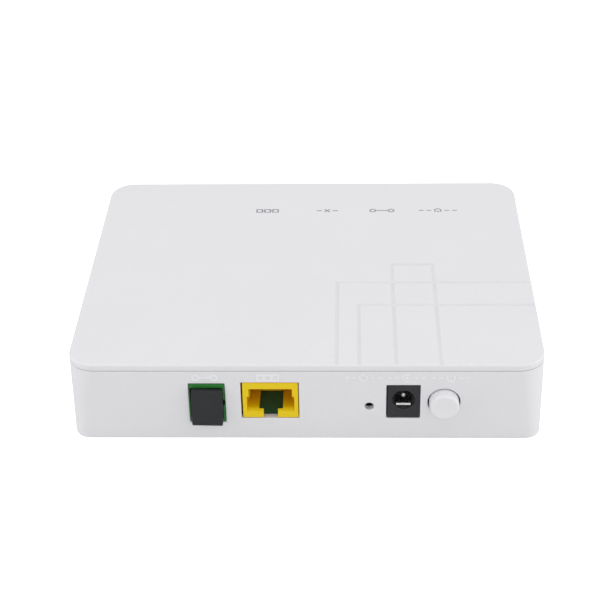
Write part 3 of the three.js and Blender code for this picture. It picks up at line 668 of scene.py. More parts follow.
def port_openings():
    x, z = Box("power_button_cap").face
    button_outline = disc(BUTTON_HOLE["radius"], (x, z - BUTTON_HOLE["drop"]), 72)
    reset_outline = disc(RESET_HOLE["radius"], Box("reset_switch_plunger").face, 40)
    return [
        box_opening("optic_adapter", 0.15, 0.12, 0.12, 0.12),
        box_opening("lan_jack_housing", 0.45, 0.2, 0.2, 0.15),
        box_opening("power_jack_housing", 0.3, 0.12, 0.15, 0.25),
        wall_opening(reset_outline, RESET_HOLE["edge"]),
        wall_opening(button_outline, BUTTON_HOLE["edge"]),
    ]


WINDOW_Z = Box("light_guide").high.z - WINDOW["height"] / 2 + 0.15


def window_openings():
    return [wall_opening(plate(WINDOW["width"], WINDOW["height"], WINDOW["corner"],
                               (Box("led_" + lamp).middle.x, WINDOW_Z)), 0.15, FRONT_Y) for lamp in LAMPS]


def side_vents():
    size = SIDE_VENTS
    cutters = []
    for side in (-1, 1):
        face = side * CASE_WIDTH / 2
        for y in spaced(size["count"], size["pitch"]):
            outline = plate(size["width"], size["height"], size["width"] / 2, (MID_Y + y, size["z"]))
            cutters.append(leaning(opening("x", outline, face, face - side * (WALL + OVER), 0.2), 0, -side))
    return cutters


def floor_openings():
    """The label's pocket, vents, keyholes, foot recesses and screw holes, all cut up through the floor."""
    inner = BASE_Z + FLOOR + OVER
    label = Box("rating_label")
    play = 2 * LABEL_POCKET["play"]
    pocket = plate(label.size.x + play, label.size.y + play, LABEL_POCKET["corner"], label.plan)
    cutters = [opening("z", pocket, BASE_Z, label.high.z, 0.1)]
    vent = FLOOR_VENTS
    for column in range(vent["count"]):
        for side in (-1, 1):
            centre = (side * (vent["nearest"] + column * vent["pitch"]), label.middle.y)
            outline = plate(vent["width"], vent["length"], vent["width"] / 2, centre)
            cutters.append(opening("z", outline, BASE_Z, inner, 0.2))
    width, length, y = KEYHOLE["slot"], KEYHOLE["length"], KEYHOLE["y"]
    for x in (-KEYHOLE["x"], KEYHOLE["x"]):
        head = disc(KEYHOLE["head"], (x, y))
        slot = plate(width, length + width / 2, width / 2, (x, y + length / 2))
        cutters += [opening("z", outline, BASE_Z, inner, 0.25) for outline in (head, slot)]
    for place in POST_PLACES:
        recess = disc(POST["foot_hole"], place)
        cutters += [
            opening("z", recess, BASE_Z, BASE_Z + POST["foot_depth"], 0.2),
            rod("z", place, POST["head_hole"], (BASE_Z, POST["head_seat"])),
            rod("z", place, POST["shank_hole"], (BASE_Z, POST["split"] + OVER), 24),
        ]
    return cutters


def case_shell():
    rim = SEAM_Z - SEAM["gap"] / 2
    edge = SEAM["edge"]
    floor_z = BASE_Z + FLOOR
    outside = case_form(opening_out(0, BASE_Z, BOTTOM_EDGE) + closing_in(0, rim - edge, edge, 4))
    hollow = case_form(opening_out(WALL, floor_z, HOLLOW_FILLET, 4) + [(rim + OVER, WALL)])
    board_bottom = BOARD.low.z
    posts = [rod("z", place, POST["shell"], (floor_z - BITE, POST["split"]), 40) for place in POST_PLACES]
    posts += [rod("z", place, STANDOFF["radius"], (floor_z - BITE, board_bottom))
              for place in STANDOFF_PLACES]
    half, rib_top = FLOOR_RIBS["half_width"], floor_z + FLOOR_RIBS["height"]
    ribs = [block((x - half, FLOOR_RIBS["start"], floor_z - BITE), (x + half, FLOOR_RIBS["end"], rib_top))
            for x in FLOOR_RIBS["places"]]
    pilots = [rod("z", place, STANDOFF["hole"], (STANDOFF["bottom"], board_bottom + OVER), 20)
              for place in STANDOFF_PLACES]
    shell = join(cut(outside, hollow), *posts, *ribs)
    shell = cut(shell, *port_openings(), *window_openings(), *side_vents(), *floor_openings(), *pilots)
    make(shell, "case_shell", "case_white", stands_for=["bottom_shell"])


def groove_cutters():
    """Round-bottomed channels, swept along the lines on the cover."""
    half, depth, steps = GROOVE["width"] / 2, GROOVE["depth"], GROOVE["steps"]
    radius = (half * half + depth * depth) / (2 * depth)
    reach = math.asin(half / radius)
    turns = [(2 * step / steps - 1) * reach for step in range(steps + 1)]
    section = [(half, TOP_Z + OVER), (-half, TOP_Z + OVER)]
    section += [(radius * math.sin(a), TOP_Z - depth + radius * (1 - math.cos(a))) for a in turns]
    return [sweep(path, section) for path in GROOVE_PATHS]


def case_cover():
    underside = SEAM_Z + SEAM["gap"] / 2
    edge, inset = SEAM["edge"], LIP["inset"]
    lip_low, inner = underside - LIP["drop"], inset + LIP["thick"]
    lid = case_form(opening_out(0, underside, edge, 4) + closing_in(0, TOP_Z - TOP_EDGE, TOP_EDGE))
    lip = cut(case_form([(lip_low, inset), (underside + BITE, inset)]),
              case_form([(lip_low - OVER, inner), (underside, inner)]))
    posts = [rod("z", place, POST["cover"], (POST["split"], underside + BITE), 40) for place in POST_PLACES]
    pilots = [rod("z", place, POST["pilot"], (POST["split"] - OVER, underside - POST["pilot_drop"]), 20)
              for place in POST_PLACES]
    lid = cut(join(lid, lip, *posts), *pilots, *groove_cutters())
    make(lid, "case_cover", "case_white", stands_for=["top_cover"], material=COVER_WHITE)


# ---------------------------------------------------------------- marks: plain pictograms, no lettering
#
# A mark is a list of strokes, each a path and whether it closes on itself.


def arc_path(radius, start, end, steps=20):
    """Points along an arc, its angles in degrees."""
    turns = [math.radians(start + (end - start) * step / steps) for step in range(steps + 1)]
    return [(radius * math.cos(a), radius * math.sin(a)) for a in turns]


def ring(radius, x=0.0):
    return (circle(radius, (x, 0.0), 28), True)


def line(*points):
    return (list(points), False)


def network_mark(width, height):
    """Three boxes on one wire."""
    box = height * 0.72
    reach = width / 2 - box / 2
    strokes = [(rounded(box, box, centre=(x, 0)), True) for x in (-reach, 0, reach)]
    return strokes + [line((side * box / 2, 0), (side * (reach - box / 2), 0)) for side in (-1, 1)]


def link_mark(width, height):
    """A ring at each end of a wire."""
    radius = height * 0.36
    reach = width / 2 - radius
    return [ring(radius, -reach), ring(radius, reach), line((radius - reach, 0), (reach - radius, 0))]


def break_mark(width, height):
    """A wire with a crossed-out gap. One arm of the cross is in two halves, just clear of the other."""
    arm, clear_of = height * 0.36, 0.001
    strokes = [line((side * width / 2, 0), (side * arm * 2, 0)) for side in (-1, 1)]
    strokes.append(line((-arm, -arm), (arm, arm)))
    halves = [line((side * arm, -side * arm), (side * clear_of, -side * clear_of)) for side in (-1, 1)]
    return strokes + halves


def dashes(width, clear_of):
    """Short dashes that fill a mark's width on both sides of its middle."""
    step = (width / 2 - clear_of) / 2
    starts = [side * (clear_of + (i + 0.25) * step) for side in (-1, 1) for i in range(2)]
    return [line((start, 0), (start + math.copysign(step * 0.6, start), 0)) for start in starts]


def power_mark(width, height):
    """An open ring with a bar, between dashes."""
    radius = height * 0.42
    strokes = [line(*arc_path(radius, 125, 415)), line((0, radius * 0.25), (0, radius * 1.15))]
    return strokes + dashes(width, radius * 1.5)


def plug_mark(width, height):
    """A dot in an open ring, between dashes."""
    radius = height * 0.42
    return [line(*arc_path(radius, 40, 320)), ring(radius * 0.3)] + dashes(width, radius * 1.5)


def restart_mark(width, height):
    """A turning arrow, between dashes."""
    radius, head = height * 0.4, height * 0.24
    x, y = arc_path(radius, 20, 20, 1)[0]
    arrowhead = line((x - head, y + head * 0.4), (x, y), (x + head * 0.7, y + head))
    return [line(*arc_path(radius, 60, 380)), arrowhead] + dashes(width, radius * 1.6)


def stroke_solids(strokes, half, low, high, taper=0.0):
    """Each stroke as a solid from low to high, narrower at the top by taper."""
    top = half - taper
    section = [(-half, low), (half, low), (top, high), (-top, high)]
    return [sweep(path, section, closed) for path, closed in strokes]


# Raised marks on the port wall: the mark, the middle of its width, its width and its height.
WALL_MARKS = [
    (link_mark, -27.8, 6.8, 2.4),
    (network_mark, -10.4, 5.8, 2.4),
    (restart_mark, 15.95, 10.5, 2.6),
    (plug_mark, 27.85, 11.0, 2.6),
    (power_mark, 39.9, 11.2, 2.6),
]
WALL_MARK = {"z": BASE_Z + 21.2, "half_width": 0.24, "proud": 0.12, "taper": 0.05, "sunk": 0.1}

# Grey marks printed on the cover, one in front of each lamp and read from the lamps' side.
COVER_MARKS = [(network_mark, 6.8), (break_mark, 6.8), (link_mark, 7.6), (power_mark, 12.8)]
COVER_MARK = {"y": FRONT_Y - 18.7, "height": 2.4, "half_width": 0.2, "proud": 0.02, "sunk": 0.05}


def wall_marks():
    solids = []
    for mark, x, width, height in WALL_MARKS:
        placing = Matrix.Translation((x, PORT_Y, WALL_MARK["z"])) @ Matrix.Rotation(math.pi / 2, 4, "X")
        made = stroke_solids(mark(width, height), WALL_MARK["half_width"], -WALL_MARK["sunk"],
                             WALL_MARK["proud"], WALL_MARK["taper"])
        solids += [leaning(turned(solid, placing)) for solid in made]
    make(join(*solids), "wall_marks", "case_white", stands_for=[], material=MARK_WHITE)


def cover_print():
    solids = []
    for (mark, width), lamp in zip(COVER_MARKS, LAMPS):
        centre = Vector((Box("led_" + lamp).middle.x, COVER_MARK["y"], TOP_Z))
        placing = Matrix.Translation(centre) @ Matrix.Rotation(math.pi, 4, "Z")
        made = stroke_solids(mark(width, COVER_MARK["height"]), COVER_MARK["half_width"],
                             -COVER_MARK["sunk"], COVER_MARK["proud"])
        solids += [turned(solid, placing) for solid in made]
    make(join(*solids), "cover_print", "case_white", stands_for=[], material=INK)


# ---------------------------------------------------------------- optical port

OPTIC_MOUTH = {"width": 8.9, "height": 10.3, "depth": 0.6}
OPTIC_CAVITY = {"width": 7.9, "height": 9.3, "depth": 11.5}
OPTIC_RELIEF = {"wall": 0.16, "depth": 4.0}
OPTIC_FLANGE = {"front": 3.4, "thick": 1.4, "half_height": 4.0, "proud": 1.6}
KEY_SLOT = {"rise": 0.2, "height": 1.9, "depth": 8.0, "bite": 0.5}
SLEEVE_HOLE = 1.7


def optic_adapter():
    box = Box("optic_adapter")
    low, high, (x, z), face = box.low, box.high, box.face, box.low.y
    ledge = face + OPTIC_MOUTH["depth"]
    half_mouth = OPTIC_MOUTH["height"] / 2
    front, half, proud = face + OPTIC_FLANGE["front"], OPTIC_FLANGE["half_height"], OPTIC_FLANGE["proud"]
    flanges = [block((start, front, z - half), (end, front + OPTIC_FLANGE["thick"], z + half))
               for start, end in ((high.x - BITE, high.x + proud), (low.x - proud, low.x + BITE))]
    body = slab("y", plate(box.size.x, box.size.z, 0.25, box.face), face, high.y, 0.15, 0.2)
    body = join(body, *[softened(part, 0.15) for part in flanges])
    mouth = plate(OPTIC_MOUTH["width"], OPTIC_MOUTH["height"], 0.3, box.face)
    cavity = plate(OPTIC_CAVITY["width"], OPTIC_CAVITY["height"], 0.3, box.face)
    key_x = x + OPTIC_CAVITY["width"] / 2 - KEY_SLOT["bite"]
    key_z, half_key = z + KEY_SLOT["rise"], KEY_SLOT["height"] / 2
    body = cut(
        body,
        block((low.x + OPTIC_RELIEF["wall"], face - OVER, z - half_mouth),
              (x, face + OPTIC_RELIEF["depth"], z + half_mouth)),
        opening("y", mouth, face, ledge, 0.12),
        opening("y", cavity, ledge, face + OPTIC_CAVITY["depth"], 0.25),
        block((key_x, face - OVER, key_z - half_key),
              (high.x + OVER, face + KEY_SLOT["depth"], key_z + half_key)),
        rod("y", box.face, SLEEVE_HOLE, ((face + high.y) / 2, high.y + OVER)),
    )
    make(body, "optic_adapter", "optic_green")


CAP = {"tilt": math.radians(1.3), "corner": 0.45, "edge": 0.3, "bore": 2.6, "bore_start": 2.0,
       "plug_width": 7.4, "plug_height": 8.8, "off_wall": 0.1}
# How far the cap's face stays inside its CAD box. It stands out where this is less than 0.
CAP_MARGINS = {"left": 0.2, "right": 0.05, "bottom": -0.08, "top": -0.27}


def dust_cap():
    low, high = Box("optic_dust_cap").low, Box("optic_dust_cap").high
    left, right = low.x + CAP_MARGINS["left"], high.x - CAP_MARGINS["right"]
    bottom, top = low.z + CAP_MARGINS["bottom"], high.z - CAP_MARGINS["top"]
    face = plate(right - left, top - bottom, CAP["corner"], ((left + right) / 2, (bottom + top) / 2))
    port = Box("optic_adapter").face
    back = PORT_Y - CAP["off_wall"]
    head = slab("y", face, low.y, back, CAP["edge"], 0.08, 4)
    plug = slab("y", plate(CAP["plug_width"], CAP["plug_height"], 0.4, port), back - BITE, high.y, 0.0, 0.4)
    bore = rod("y", port, CAP["bore"], (back + CAP["bore_start"], high.y + OVER))
    place = Matrix.Translation((port[0], 0, port[1]))
    tilt = place @ Matrix.Rotation(CAP["tilt"], 4, "Y") @ place.inverted()
    make(turned(cut(join(head, plug), bore), tilt), "optic_dust_cap", "cap_black", "dust_cap")


SLEEVE = {"inner": 1.25, "half_slit": 0.2, "slit_start": 0.5}


def ferrule_sleeve():
    box = Box("optic_ferrule_sleeve")
    low, high, (x, z), half = box.low, box.high, box.face, SLEEVE["half_slit"]
    tube = cut(
        slab("y", disc(box.size.x / 2, box.face), low.y, high.y, 0.12, 0.12),
        opening("y", disc(SLEEVE["inner"], box.face), low.y, high.y + OVER, 0.12),
        block((x - half, low.y - OVER, z + SLEEVE["slit_start"]), (x + half, high.y + OVER, high.z + OVER)),
    )
    make(tube, "optic_ferrule_sleeve", "ceramic_white")


MODULE = {"neck": 3.0, "collar": 3.3, "groove": (1.1, 1.7), "groove_floor": 2.9, "groove_clear": 3.6,
          "flat": 1.8, "flat_depth": 0.25}


def optical_module():
    box = Box("optical_module")
    low, high, centre = box.low, box.high, box.face
    neck_end = low.y + MODULE["neck"]
    collar = slab("y", disc(MODULE["collar"], centre), low.y, neck_end + BITE, 0.15, 0.0)
    start, end = (low.y + step for step in MODULE["groove"])
    groove = cut(rod("y", centre, MODULE["groove_clear"], (start, end)),
                 rod("y", centre, MODULE["groove_floor"], (low.y, neck_end)))
    body = slab("y", plate(box.size.x, box.size.x, 0.4, centre), neck_end, high.y, 0.2, 0.2)
    flat = slab("z", disc(MODULE["flat"], (centre[0], (neck_end + high.y) / 2)),
                high.z - MODULE["flat_depth"], high.z + OVER, 0.0, 0.0)
    make(cut(join(collar, body), groove, flat), "optical_module", "module_metal")


def metal_can(node, axis):
    """A welded metal can with a flange at its far end, lying along an axis."""
    box = Box(node)
    centre = box.face if axis == "y" else box.side
    start, end = getattr(box.low, axis), getattr(box.high, axis)
    step = end - 1.2
    profile = [(0, start + 0.02), (2.1, start + 0.02), (2.3, start + 0.25), (2.3, step - 0.2),
               (2.45, step - 0.05), (2.7, step), (2.8, step + 0.1), (2.8, end - 0.15), (2.65, end), (0, end)]
    make(lathe(axis, centre, profile), node, "gold_plate")


LEAD = {"spacing": 1.3, "thick": 0.45, "reach": 1.4}


def module_leads():
    """A row of three wires that carry the laser can's signals down to the board."""
    can = Box("laser_can")
    out, z = can.high.y + LEAD["reach"], can.middle.z
    path = [(can.high.y, z), (out, z), (out, BOARD_TOP)]
    wires = [ribbon(can.middle.x + dx, path, LEAD["thick"], LEAD["thick"], 0.7, 0.2)
             for dx in spaced(3, LEAD["spacing"])]
    make(gathered(wires), "optical_module_leads", "gold_plate", stands_for=[])


# ---------------------------------------------------------------- network jack

LAN_MOUTH = {"width": 12.0, "above_bottom": 2.75, "below_top": 2.25, "depth": 12.5, "edge": 0.25}
LAN_STEP = {"extra": 0.55, "below_roof": 2.6, "depth": 5.0}
LEAD_IN = {"drop": 0.6325, "depth": 1.3, "ahead": 0.2}
LAN_TAB = {"width": 4.0, "channel": 6.7, "lip": 0.8}
ROOF_GROOVE = {"front": 1.2, "depth": 0.8, "width": 8.16}
COMB = {"pitch": 1.02, "half": 0.09, "front": 3.0, "back": 1.0}


def lan_housing():
    box = Box("lan_jack_housing")
    low, high, x, face = box.low, box.high, box.middle.x, box.low.y
    floor, roof = low.z + LAN_MOUTH["above_bottom"], high.z - LAN_MOUTH["below_top"]
    deep, lip = face + LAN_MOUTH["depth"], face + LAN_TAB["lip"]
    step_top = roof - LAN_STEP["below_roof"]
    step_width = LAN_MOUTH["width"] + 2 * LAN_STEP["extra"]
    half_channel, half_groove = LAN_TAB["channel"] / 2, ROOF_GROOVE["width"] / 2
    groove_top = roof + ROOF_GROOVE["depth"]
    mouth = plate(LAN_MOUTH["width"], roof - floor, 0.15, (x, (roof + floor) / 2))
    step = plate(step_width, step_top - floor, 0.12, (x, (step_top + floor) / 2))
    tab = plate(LAN_TAB["width"], floor - low.z + 2 * OVER, 0.0, (x, (low.z + floor) / 2))
    body = cut(
        slab("y", plate(box.size.x, box.size.z, 0.3, box.face), face, high.y, 0.2, 0.3),
        opening("y", mouth, face, deep, LAN_MOUTH["edge"]),
        opening("y", step, face, face + LAN_STEP["depth"], LAN_MOUTH["edge"]),
        opening("y", tab, face, lip + OVER, 0.15),
        block((x - half_channel, lip, low.z - OVER), (x + half_channel, deep, floor + OVER)),
        block((x - half_groove, face + ROOF_GROOVE["front"], roof - OVER),
              (x + half_groove, high.y + OVER, groove_top)),
    )
    start, level = face - LEAD_IN["ahead"], floor + 0.01
    slope = [(start, floor - LEAD_IN["drop"]), (face + LEAD_IN["depth"], level), (start, level)]
    body = cut(body, loft([(x - step_width / 2, slope), (x + step_width / 2, slope)], "x"))
    walls = [x - half_groove + i * COMB["pitch"] for i in range(1, 8)]
    combs = [block((wall - COMB["half"], face + COMB["front"], roof - 0.05),
                   (wall + COMB["half"], high.y - COMB["back"], groove_top + BITE)) for wall in walls]
    make(join(body, *combs), "lan_jack_housing", "lan_yellow")


def lan_contacts():
    """Eight sprung wires that lie in the roof and slant down into the mouth."""
    housing = Box("lan_jack_housing")
    face, roof = housing.low.y, housing.high.z - LAN_MOUTH["below_top"]
    for number in range(1, 9):
        box = Box(f"lan_contact_{number}")
        upper = box.high.z - 0.16
        path = [(box.high.y, upper), (face + 2.0, upper), (face + 1.62, upper - 0.22),
                (face + 2.0, upper - 0.48), (face + 9.5, roof - 2.05)]
        make(ribbon(box.middle.x, path, box.size.x, 0.3, 0.25, 0.1), f"lan_contact_{number}", "gold_plate")


# ---------------------------------------------------------------- power jack

POWER_BORE = {"radius": 3.15, "depth": 10.3, "edge": 0.12, "inner": 3.85, "lip": 0.35, "inner_end": 6.5}
POWER_FLANGE = {"depth": 3.4, "side": 0.4, "top": 4.2}
PIN_HOLE = 1.1
TUNNEL = {"play": 0.15, "above_base": 1.2, "above_leaf": 0.1, "end": 1.5}
LEAF = {"thick": 0.3, "nose_drop": 0.6, "nose": 0.35, "tail": 0.2}


def power_housing():
    box, pin, leaf = Box("power_jack_housing"), Box("power_jack_pin"), Box("power_jack_spring")
    low, high, x, axis = box.low, box.high, pin.middle.x, pin.face
    face, flange = low.y, low.y + POWER_FLANGE["depth"]
    side, rib_top = box.size.x / 2 - POWER_FLANGE["side"], pin.middle.z + POWER_FLANGE["top"] - 2
    half_tunnel, rib = leaf.size.x / 2 + TUNNEL["play"], 0.25
    ribs = [softened(block((edge - rib, flange + 1.5, low.z), (edge + rib, high.y - 1.5, rib_top)), 0.1)
            for edge in (x - side, x + side)]
    jack = join(
        slab("y", plate(box.size.x, box.size.z, 0.3, box.face), face, flange, 0.22, 0.1),
        rod("y", axis, side, (flange - BITE, high.y), 48),
        block((x - side, flange - BITE, low.z), (x + side, high.y, pin.middle.z)),
        *ribs,
    )
    bore, end = disc(POWER_BORE["radius"], axis, 56), face + POWER_BORE["depth"]
    jack = cut(
        jack,
        opening("y", bore, face, end, POWER_BORE["edge"]),
        rod("y", axis, POWER_BORE["inner"], (face + POWER_BORE["lip"], face + POWER_BORE["inner_end"]), 56),
        rod("y", axis, PIN_HOLE, (end - OVER, high.y + OVER)),
        block((x - half_tunnel, flange, low.z + TUNNEL["above_base"]),
              (x + half_tunnel, high.y - TUNNEL["end"], leaf.high.z + TUNNEL["above_leaf"])),
    )
    make(jack, "power_jack_housing", "part_black", material=JACK_BLACK)


def power_pin():
    box = Box("power_jack_pin")
    radius, tail = box.size.x / 2, box.high.y
    profile = [(radius * run, box.low.y + radius * rise) for run, rise in quarter_turn(6)]
    profile += [(radius, tail - 0.6), (radius * 0.8, tail - 0.5), (radius * 0.8, tail), (0, tail)]
    make(lathe("y", box.face, profile, 32), "power_jack_pin", "contact_steel")


def power_leaf():
    """The sleeve contact: a leaf along the bottom of the bore, its front edge rolled down."""
    box = Box("power_jack_spring")
    thick, back, top = LEAF["thick"], box.high.y - LEAF["tail"], box.high.z
    level = top - thick / 2
    path = [(box.low.y + thick / 2, top - LEAF["nose_drop"]), (box.low.y + LEAF["nose"], level),
            (back, level), (back, box.low.z)]
    make(ribbon(box.middle.x, path, box.size.x, thick, 0.3), "power_jack_spring", "contact_steel")


# ---------------------------------------------------------------- power button, switches

BUTTON = {"rim": 0.75, "dish": 0.22, "socket": 3.2, "skin": 2.3}
SWITCH = {"half_channel": 1.7, "channel_end": 1.6, "half_window": 1.2, "window": (2.4, 6.4),
          "window_depth": 0.6, "wire": (2.7, 6.1), "wire_top": 0.1, "wire_end": 0.5}


def button_cap():
    box = Box("power_button_cap")
    low, high, (x, z) = box.low, box.high, box.face
    radius, rim, dish, half = box.size.x / 2, BUTTON["rim"], BUTTON["dish"], BUTTON["socket"] / 2
    flat = radius - rim
    shares = [step / 6 for step in range(7)]
    profile = [(flat * share, low.y + dish * (1 - share * share) ** 1.5) for share in shares]
    profile += [(flat + rim * run, low.y + rim * rise) for run, rise in quarter_turn(8, 1)]
    profile += [(radius, high.y - 0.2), (radius - 0.2, high.y), (0, high.y)]
    socket = block((x - half, low.y + BUTTON["skin"], z - half), (x + half, high.y + OVER, z + half))
    cap = cut(lathe("y", box.face, profile, 72), socket)
    make(cap, "power_button_cap", "button_white", "power_button", sharp=40.0)


def switch_stem():
    box = Box("power_switch_stem")
    make(softened(block(box.low, box.high), 0.25), "power_switch_stem", "button_white", "power_button")


def switch_body():
    box = Box("power_switch_body")
    low, high, x, z = box.low, box.high, box.middle.x, Box("power_switch_stem").middle.z
    half, half_window = SWITCH["half_channel"], SWITCH["half_window"]
    front, back = (low.y + step for step in SWITCH["window"])
    channel_end = high.y - SWITCH["channel_end"]
    channel = block((x - half, low.y - OVER, z - half), (x + half, channel_end, z + half))
    window = block((x - half_window, front, high.z - SWITCH["window_depth"]),
                   (x + half_window, back, high.z + OVER))
    make(cut(softened(block(low, high), 0.3), channel, window), "power_switch_body", "part_black")
    start, end = (low.y + step for step in SWITCH["wire"])
    top, foot_z = high.z - SWITCH["wire_top"], high.z - SWITCH["wire_end"]
    path = [(start, foot_z), (start, top), (end, top), (end, foot_z)]
    make(ribbon(x, path, 0.4, 0.3, 0.15, 0.12), "power_switch_latch_wire", "contact_steel", stands_for=[])


def reset_switch():
    body, stem = Box("reset_switch_body"), Box("reset_switch_plunger")
    radius, start, end = stem.size.x / 2, stem.low.y, stem.high.y
    well = rod("y", stem.face, radius + 0.1, (body.low.y - OVER, end + 0.5), 40)
    make(cut(softened(block(body.low, body.high), 0.2), well), "reset_switch_body", "part_black")
    plunger = slab("y", disc(radius, stem.face, 40), start, end, 0.25, 0.05)
    make(plunger, "reset_switch_plunger", "cap_black", "reset_plunger")


# ---------------------------------------------------------------- main board

BOARD_EDGE = {"corner": 1.5, "screw_hole": 1.5, "notch_side": 0.7, "notch_end": 0.5}
PLATING = 0.035  # how far pads stand above the lacquer
SINK = 0.05  # how far pads and ink reach into it


def main_board():
    low, port = BOARD.low, Box("optic_adapter")
    outline = plate(BOARD.size.x, BOARD.size.y, BOARD_EDGE["corner"], BOARD.plan)
    side = BOARD_EDGE["notch_side"]
    notch = block((port.low.x - side, low.y - OVER, low.z - OVER),
                  (port.high.x + side, port.high.y + BOARD_EDGE["notch_end"], BOARD_TOP + OVER))
    holes = [rod("z", place, BOARD_EDGE["screw_hole"], (low.z - OVER, BOARD_TOP + OVER), 24)
             for place in STANDOFF_PLACES]
    board = slab("z", outline, low.z, BOARD_TOP, 0.06, 0.06, 2)
    make(cut(board, notch, *holes), "main_board", "board_green")


def pad(x, y, width, depth):
    """A plated pad on the board."""
    outline = rounded(width, depth, 0.12, (x, y), 2)
    return loft([(BOARD_TOP - SINK, outline), (BOARD_TOP + PLATING, outline)])


PASSIVE = {"length": 1.6, "width": 0.8, "height": 0.5, "end": 0.3, "end_swell": 0.03, "pad": (0.9, 1.0)}
# Rows of small two-ended parts: the row's middle, the step between parts and how many there are.
CAPACITOR_ROWS = [
    ((-4.0, 18.2), (2.1, 0.0), 7), ((-4.0, -9.6), (2.1, 0.0), 6), ((-28.0, -3.6), (2.1, 0.0), 4),
    ((18.0, 13.6), (2.1, 0.0), 3), ((30.0, -5.6), (2.1, 0.0), 2), ((-38.0, 14.0), (2.1, 0.0), 5),
    ((24.0, 20.0), (2.1, 0.0), 6),
]
RESISTOR_ROWS = [
    ((-18.5, 6.0), (0.0, 2.1), 8), ((10.2, 4.0), (0.0, 2.1), 6), ((-9.85, -19.6), (2.1, 0.0), 6),
    ((-40.0, -14.0), (0.0, 2.1), 5), ((45.0, 4.0), (0.0, 2.1), 6), ((4.0, 26.0), (2.1, 0.0), 8),
    ((44.5, -30.0), (0.0, 2.1), 4),
]


def chip_parts(rows):
    """The bodies, metal ends and pads of rows of parts. A part lies along X, or along Y in a column."""
    bodies, ends, pads = [], [], []
    half = PASSIVE["length"] / 2
    reach = half - PASSIVE["end"]
    low_z, high_z = BOARD_TOP + PLATING + 0.01, BOARD_TOP + PASSIVE["height"]
    for (x, y), (dx, dy), count in rows:
        order = slice(None, None, -1 if dy else 1)  # swaps X and Y in a column
        for i in spaced(count, 1.0):
            place = Vector((x + dx * i, y + dy * i, 0))
            for start, stop, group in ((-reach, reach, bodies), (-half, -reach, ends), (reach, half, ends)):
                swell = 0.0 if group is bodies else PASSIVE["end_swell"]
                wide = PASSIVE["width"] / 2 + swell
                one, two = (start, -wide)[order], (stop, wide)[order]
                group.append(block(place + Vector((*one, low_z)), place + Vector((*two, high_z + swell))))
            for shift in (-half, half):
                pad_x, pad_y = (shift, 0.0)[order]
                pads.append(pad(place.x + pad_x, place.y + pad_y, *PASSIVE["pad"][order]))
    return bodies, ends, pads


# Leaded chips: pins along each side, their pitch, the axis they point along, their reach and thickness.
LEADED = {
    "memory_chip": {"count": 22, "pitch": 0.55, "axis": "x", "reach": 1.1, "thick": 0.12},
    "flash_chip": {"count": 4, "pitch": 1.27, "axis": "x", "reach": 1.3, "thick": 0.2},
    "converter_chip": {"count": 4, "pitch": 1.2, "axis": "x", "reach": 1.0, "thick": 0.2},
    "lan_transformer": {"count": 12, "pitch": 1.15, "axis": "y", "reach": 1.2, "thick": 0.25},
}


def moulded_chip(node):
    """A package with a chamfered rim and a dimple by its first pin."""
    box = Box(node)
    low, high = box.low, box.high
    outline = plate(box.size.x, box.size.y, 0.2, box.plan, 3)
    slope = min(0.25, box.size.z * 0.15)
    body = loft([(low.z + 0.1, outline(-slope)), (box.middle.z, outline(0)),
                 (high.z - 0.04, outline(-slope)), (high.z, outline(-slope - 0.04))])
    size = min(box.size.x, box.size.y)
    place = (low.x + size * 0.2 + slope, low.y + size * 0.2 + slope)
    dimple = rod("z", place, size * 0.07, (high.z - 0.06, high.z + OVER), 24)
    make(cut(body, dimple), node, "part_black")


def gull_wings(node):
    """The package's leads, as separate bent strips, and their pads."""
    box, spec = Box(node), LEADED[node]
    along_x = spec["axis"] == "x"
    edge = (box.size.x if along_x else box.size.y) / 2
    thick, wide, reach = spec["thick"], spec["pitch"] * 0.42, spec["reach"]
    rest, exit_z = BOARD_TOP + PLATING + thick / 2 + 0.005, box.middle.z
    pad_out, pad_width, pad_length = edge + reach * 0.8, wide * 1.2, reach * 0.8
    swapped = Matrix(((0, 1, 0, 0), (1, 0, 0, 0), (0, 0, 1, 0), (0, 0, 0, 1)))
    placing = Matrix.Translation((*box.plan, 0)) @ (swapped if along_x else Matrix())
    strips, pads = [], []
    for offset in spaced(spec["count"], spec["pitch"]):
        for way in (-1, 1):
            path = [(way * (edge - 0.1), exit_z), (way * (edge + reach * 0.35), exit_z),
                    (way * (edge + reach * 0.5), rest), (way * (edge + reach), rest)]
            strip = ribbon(offset, path, wide, thick, thick * 1.5, thick * 0.2)
            strips.append(turned(strip, placing))
            x, y = box.plan
            if along_x:
                pads.append(pad(x + way * pad_out, y + offset, pad_length, pad_width))
            else:
                pads.append(pad(x + offset, y + way * pad_out, pad_width, pad_length))
    make(gathered(strips), node + "_leads", "contact_steel", stands_for=[])
    return pads


# The larger parts with a plain rectangle printed round them, and how far it stands clear.
INK_FRAMES = {"network_processor": 0.8, "memory_chip": 1.9, "flash_chip": 1.9, "converter_chip": 1.6,
              "power_inductor_1": 0.6, "power_inductor_2": 0.6, "clock_crystal": 0.6, "capacitor_1": 0.5,
              "capacitor_2": 0.5, "serial_header": 0.6}
INK_LINE = {"half_width": 0.09, "proud": 0.02}


def board_ink():
    solids = []
    for node, clear_of in INK_FRAMES.items():
        box = Box(node)
        outline = rounded(box.size.x + 2 * clear_of, box.size.y + 2 * clear_of, centre=box.plan)
        solids += stroke_solids([(outline, True)], INK_LINE["half_width"], BOARD_TOP - SINK,
                                BOARD_TOP + INK_LINE["proud"])
    make(gathered(solids), "board_ink", "label_paper", stands_for=[])


